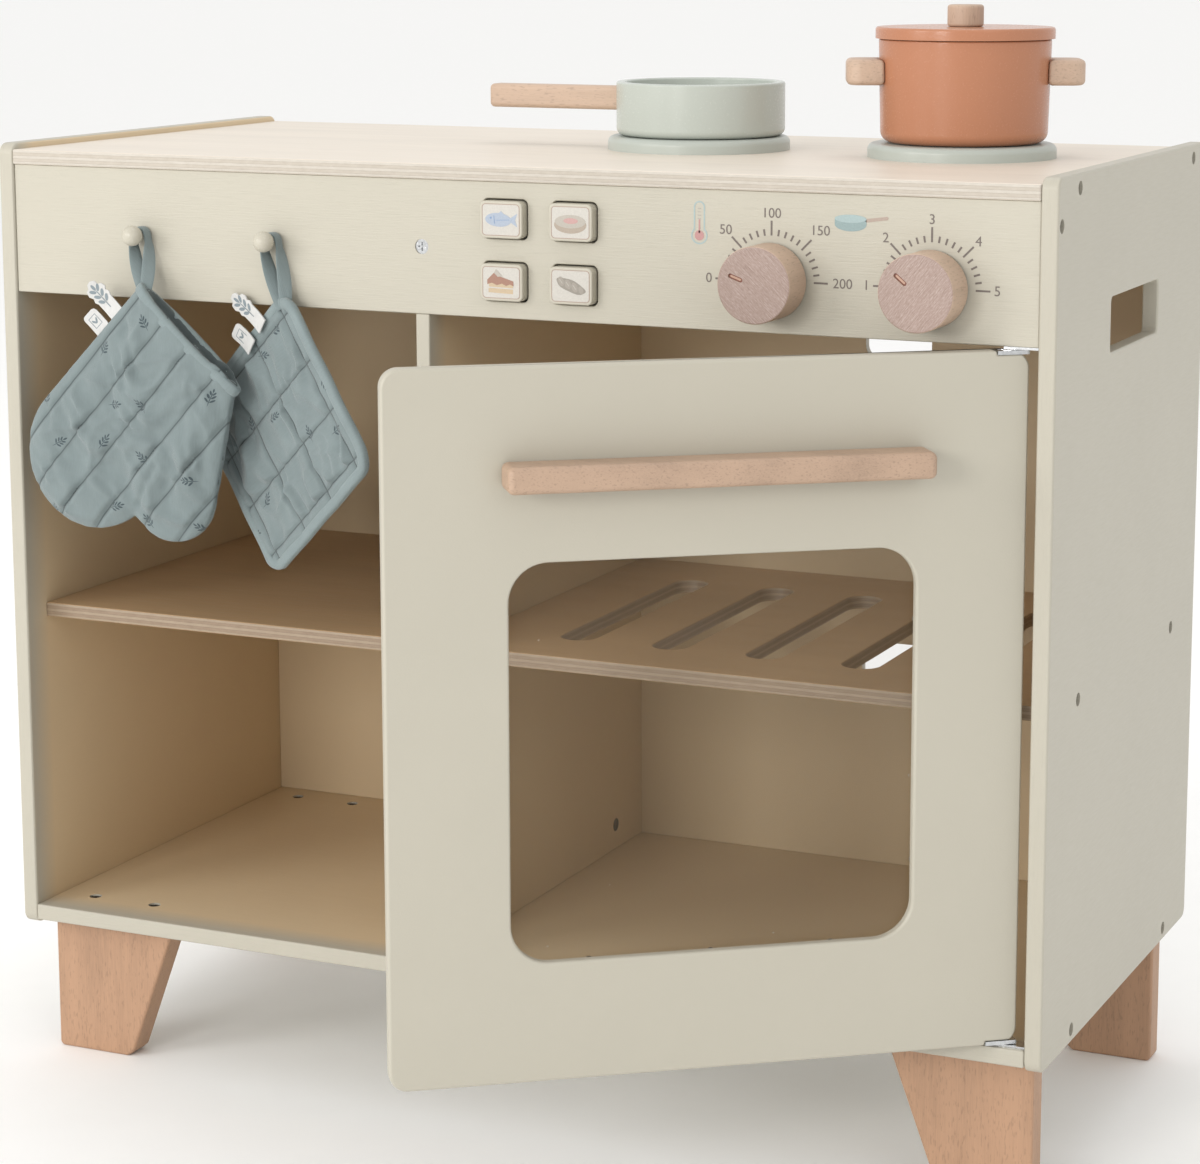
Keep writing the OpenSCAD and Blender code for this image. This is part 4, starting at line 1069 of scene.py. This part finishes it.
def hanging_loop(name, hook, node, foot):
    """A strap folded over a hook's neck, both ends sewn in at foot."""
    low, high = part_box(node)
    ball_low, ball_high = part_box(hook)
    neck = (ball_low + ball_high) / 2
    neck.y = (low.y + high.y) / 2
    over = 4.0 * MM
    start, end = foot + Vector((-0.8 * MM, 0, 0)), foot + Vector((0.8 * MM, 0, 0))
    left, right = neck + Vector((-5.0 * MM, 0, -4 * MM)), neck + Vector((4.6 * MM, 0, -4 * MM))
    left_mid = start.lerp(left, 0.5) + Vector((-1.6 * MM, 0, 0))
    right_mid = end.lerp(right, 0.5) + Vector((1.9 * MM, 0, 0))

    def curve(a, b, c):
        n = 12
        return [a * (1 - t) ** 2 + b * 2 * t * (1 - t) + c * t ** 2 for t in [i / n for i in range(n)]]

    path = curve(start, left_mid, left)
    for i in range(15):
        t = math.pi - math.pi * i / 14
        path.append(neck + Vector((over * math.cos(t), 0, -0.3 * MM + over * math.sin(t))))
    path += curve(right, right_mid, end) + [end]
    last = len(path) - 1
    sides, ups, widths = [], [], []
    for i in range(len(path)):
        ahead = path[min(i + 1, last)] - path[max(i - 1, 0)]
        side = Vector((-ahead.z, 0, ahead.x)).normalized()
        low_down = max(0.0, 1 - min(i, last - i) / 12)
        turn = math.radians(62) * low_down ** 0.6 * (-1 if i < len(path) / 2 else 1)
        across = Vector((0, 1, 0))
        ups.append(across * math.cos(turn) + side * math.sin(turn))
        sides.append(side * math.cos(turn) - across * math.sin(turn))
        widths.append((3.3 + 0.5 * math.sin(math.pi * low_down)) * MM)
    tape = cotton(name + "_cotton", (0, 1, 0), (0, 0, 1), 1.05)
    piece = swept(name, path, sides, ups, widths, 0.75 * MM, BODY_OF[node], tape, closed=False)
    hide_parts(node)


def show_quilt(piece, node, materials):
    """Gives a quilted piece its materials and lets it stand for its CAD node."""
    piece.data.materials.clear()
    for material in materials:
        piece.data.materials.append(material)
    smooth(piece.data, 80)
    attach(piece, BODY_OF[node])
    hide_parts(node)


def dress_mitt():
    """The quilted mitt: its pouch with painted shade inside, the binding round the cuff, the loop and two
    tags.
    """
    node = "oven_mitt"
    low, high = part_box(node)
    mid_y = (low.y + high.y) / 2
    facing = Vector((0, 1, 0))
    cuff_a, cuff_b = Vector((-0.200, mid_y, 0.448)), Vector((-0.1425, mid_y, 0.396))
    across = (cuff_b - cuff_a).normalized()
    along = Vector((-across.z, 0, across.x))
    rim = cuff_a.dot(along)
    outline = [Vector((p.x, 0, p.z)) for p in outline_points(node, facing)]
    sides = tree_of([p for p in outline if Vector((p.x, mid_y, p.z)).dot(along) < rim - 2 * MM])
    quilts = [(across, -0.4245, 0.0205)]
    thumb_seam = ((-0.204, 0.329), (-0.190, 0.352))

    def from_side(p):
        return sides.find(Vector((p.x, 0, p.z)))[2]

    def reshape(p):
        full = 0.34 + 0.62 * (1 - math.exp(-from_side(p) / (9 * MM)))
        return Vector((p.x, mid_y + (p.y - mid_y) * full, p.z))

    def held(p):
        cuff = 1.0 if p.dot(along) > rim - 5 * MM else 0.0
        stitch, seam = near(away_from_lines(p, quilts), 1.6 * MM), near(from_side(p), 2.0 * MM)
        return min(1.0, max(0.06, stitch, seam, cuff))

    def from_border(p):
        return max(0.0, min(from_side(p), rim - 3 * MM - p.dot(along)))

    piece = remeshed("oven_mitt_quilted", node, 2.6 * MM, reshape)
    swell(piece, held, 3.2 * MM)
    mesh = divided(piece)
    sew(mesh, quilts, 3.5 * MM, facing, from_border, [thumb_seam])
    cloth = fabric("quilted_mitt_print", (1, 0, 0), (0, 0, 1), [(tuple(across), *quilts[0][1:])])
    # painted shade: a dark copy of the cotton for the faces inside the pouch, which lie in shadow
    inside_shade_cloth = cotton("mitt_inside_shade_cotton", (1, 0, 0), (0, 0, 1), 0.38)
    show_quilt(piece, node, (cloth, inside_shade_cloth))
    # faces that look into the pouch take the painted shade
    for face in mesh.polygons:
        face.material_index = int((face.center.y - mid_y) * face.normal.y < 0)

    plain = cotton("mitt_binding", tuple(across), tuple(along), 1.12)
    middle = cuff_a.lerp(cuff_b, 0.5)
    half_length = (cuff_b - cuff_a).length / 2 + 0.2 * MM
    half_gap = (high.y - low.y) / 2 - 2.6 * MM
    path, outward = [], []
    n = 60
    for i in range(n):
        t = 2 * math.pi * i / n
        c, s = math.cos(t), math.sin(t)
        aside = across * half_length * squared(c, 0.75) + facing * half_gap * squared(s, 0.9)
        path.append(middle + aside - along * (2.4 + 0.48 * math.sin(3 * t + 0.6)) * MM)
        outward.append((across * c * 0.35 + facing * s).normalized())
    swept("mitt_cuff_binding", path, outward, [along] * n, [2.9 * MM] * n, 2.0 * MM, BODY_OF[node], plain)
    hanging_loop("mitt_hanging_loop", "hook_left", "mitt_loop", cuff_a + Vector((0.2, 1.0, -2.5)) * MM)
    outward = Vector((-0.70, 0, 0.71)).normalized()
    beside = Vector((-0.71, 0, -0.70)).normalized()
    front = Vector((0, -1, 0))
    for name, x, z, tag in (("mitt_leaf_tag", -0.2165, 0.4325, leaf_tag()),
                            ("mitt_square_tag", -0.2255, 0.4235, square_tag())):
        label(name, Vector((x, mid_y - 1.0 * MM, z)), outward, beside, front, tag, BODY_OF[node], 0.12)


def dress_holder():
    """The square quilted pot holder, its binding, its loop and two tags. It hangs aslant."""
    node = "pot_holder"
    source = frame["nodes"][node].data
    front_face = max(source.polygons, key=lambda f: f.area if f.normal.y < 0 else 0)
    facing = -front_face.normal.copy()
    outline = outline_points(node, facing)
    depths = [v.co.dot(facing) for v in source.vertices]
    low, high = min(depths), max(depths)
    middle = (low + high) / 2
    centre = sum(outline, Vector()) / len(outline)
    centre += facing * (middle - centre.dot(facing))
    level = Vector((0, 0, 1)).cross(facing).normalized()
    upright = facing.cross(level).normalized()
    half, e1 = None, None
    for degrees in range(90):
        a = math.radians(degrees)
        direction = level * math.cos(a) + upright * math.sin(a)
        wide = max((p - centre).dot(direction) for p in outline)
        if half is None or wide < half:
            half, e1 = wide, direction
    e2 = facing.cross(e1).normalized()
    border = tree_of([p - facing * (p.dot(facing)) for p in outline])
    spacing = 0.030
    quilts = [(e, centre.dot(e) + spacing / 2, spacing) for e in (e1, e2)]

    def from_edge(p):
        return border.find(p - facing * p.dot(facing))[2]

    def reshape(p):
        full = 0.62 + 0.25 * (1 - math.exp(-from_edge(p) / (6 * MM)))
        return p + facing * (middle - p.dot(facing)) * (1 - full)

    def held(p):
        stitch, seam = near(away_from_lines(p, quilts), 1.6 * MM), near(from_edge(p), 3.0 * MM)
        return min(1.0, max(0.06, stitch, seam))

    piece = remeshed("pot_holder_quilted", node, 2.2 * MM, reshape)
    swell(piece, held, 2.6 * MM)
    sew(divided(piece), quilts, 3.3 * MM, facing, lambda p: max(0.0, from_edge(p) - 4 * MM))
    cloth = fabric("quilted_holder_print", tuple(e1), tuple(e2), [(tuple(e), o, s) for e, o, s in quilts])
    show_quilt(piece, node, (cloth,))

    plain = cotton("holder_binding", tuple(e1), tuple(e2), 1.12)
    side = 2 * half - 5 * MM
    corners = [centre + e1 * x + e2 * z for x, z in rectangle(0, 0, side, side, 9 * MM, 10)]
    path = []
    for p, q in zip(corners, corners[1:] + corners[:1]):
        count = max(1, int((q - p).length / (4 * MM)))
        path += [p.lerp(q, k / count) for k in range(count)]
    path = [p + facing * 0.25 * MM * math.sin(i * 0.7) for i, p in enumerate(path)]
    n = len(path)
    ups = [(path[(i + 1) % n] - path[i - 1]).normalized().cross(facing).normalized() for i in range(n)]
    swept("holder_edge_binding", path, [facing] * n, ups, [3.0 * MM] * n, 2.3 * MM, BODY_OF[node], plain)
    top = max(path, key=lambda p: p.z)
    hanging_loop("holder_hanging_loop", "hook_right", "holder_loop", top + Vector((0, 0, -3 * MM)))
    outward = Vector((-0.84, 0, 0.54))
    outward = (outward - facing * outward.dot(facing)).normalized()
    beside = outward.cross(facing).normalized()
    for name, x, z, tag in (("holder_leaf_tag", -0.134, 0.4305, leaf_tag()),
                            ("holder_square_tag", -0.143, 0.4185, square_tag())):
        on_front = Vector((x, (low - facing.x * x - facing.z * z) / facing.y, z))
        label(name, on_front - facing * 1.5 * MM, outward, beside, -facing, tag, BODY_OF[node], 0.2)


make_camera()
studio()
dress_cabinet()
dress_pans()
dress_knobs()
dress_dials()
dress_icons()
dress_buttons()
dress_mitt()
dress_holder()
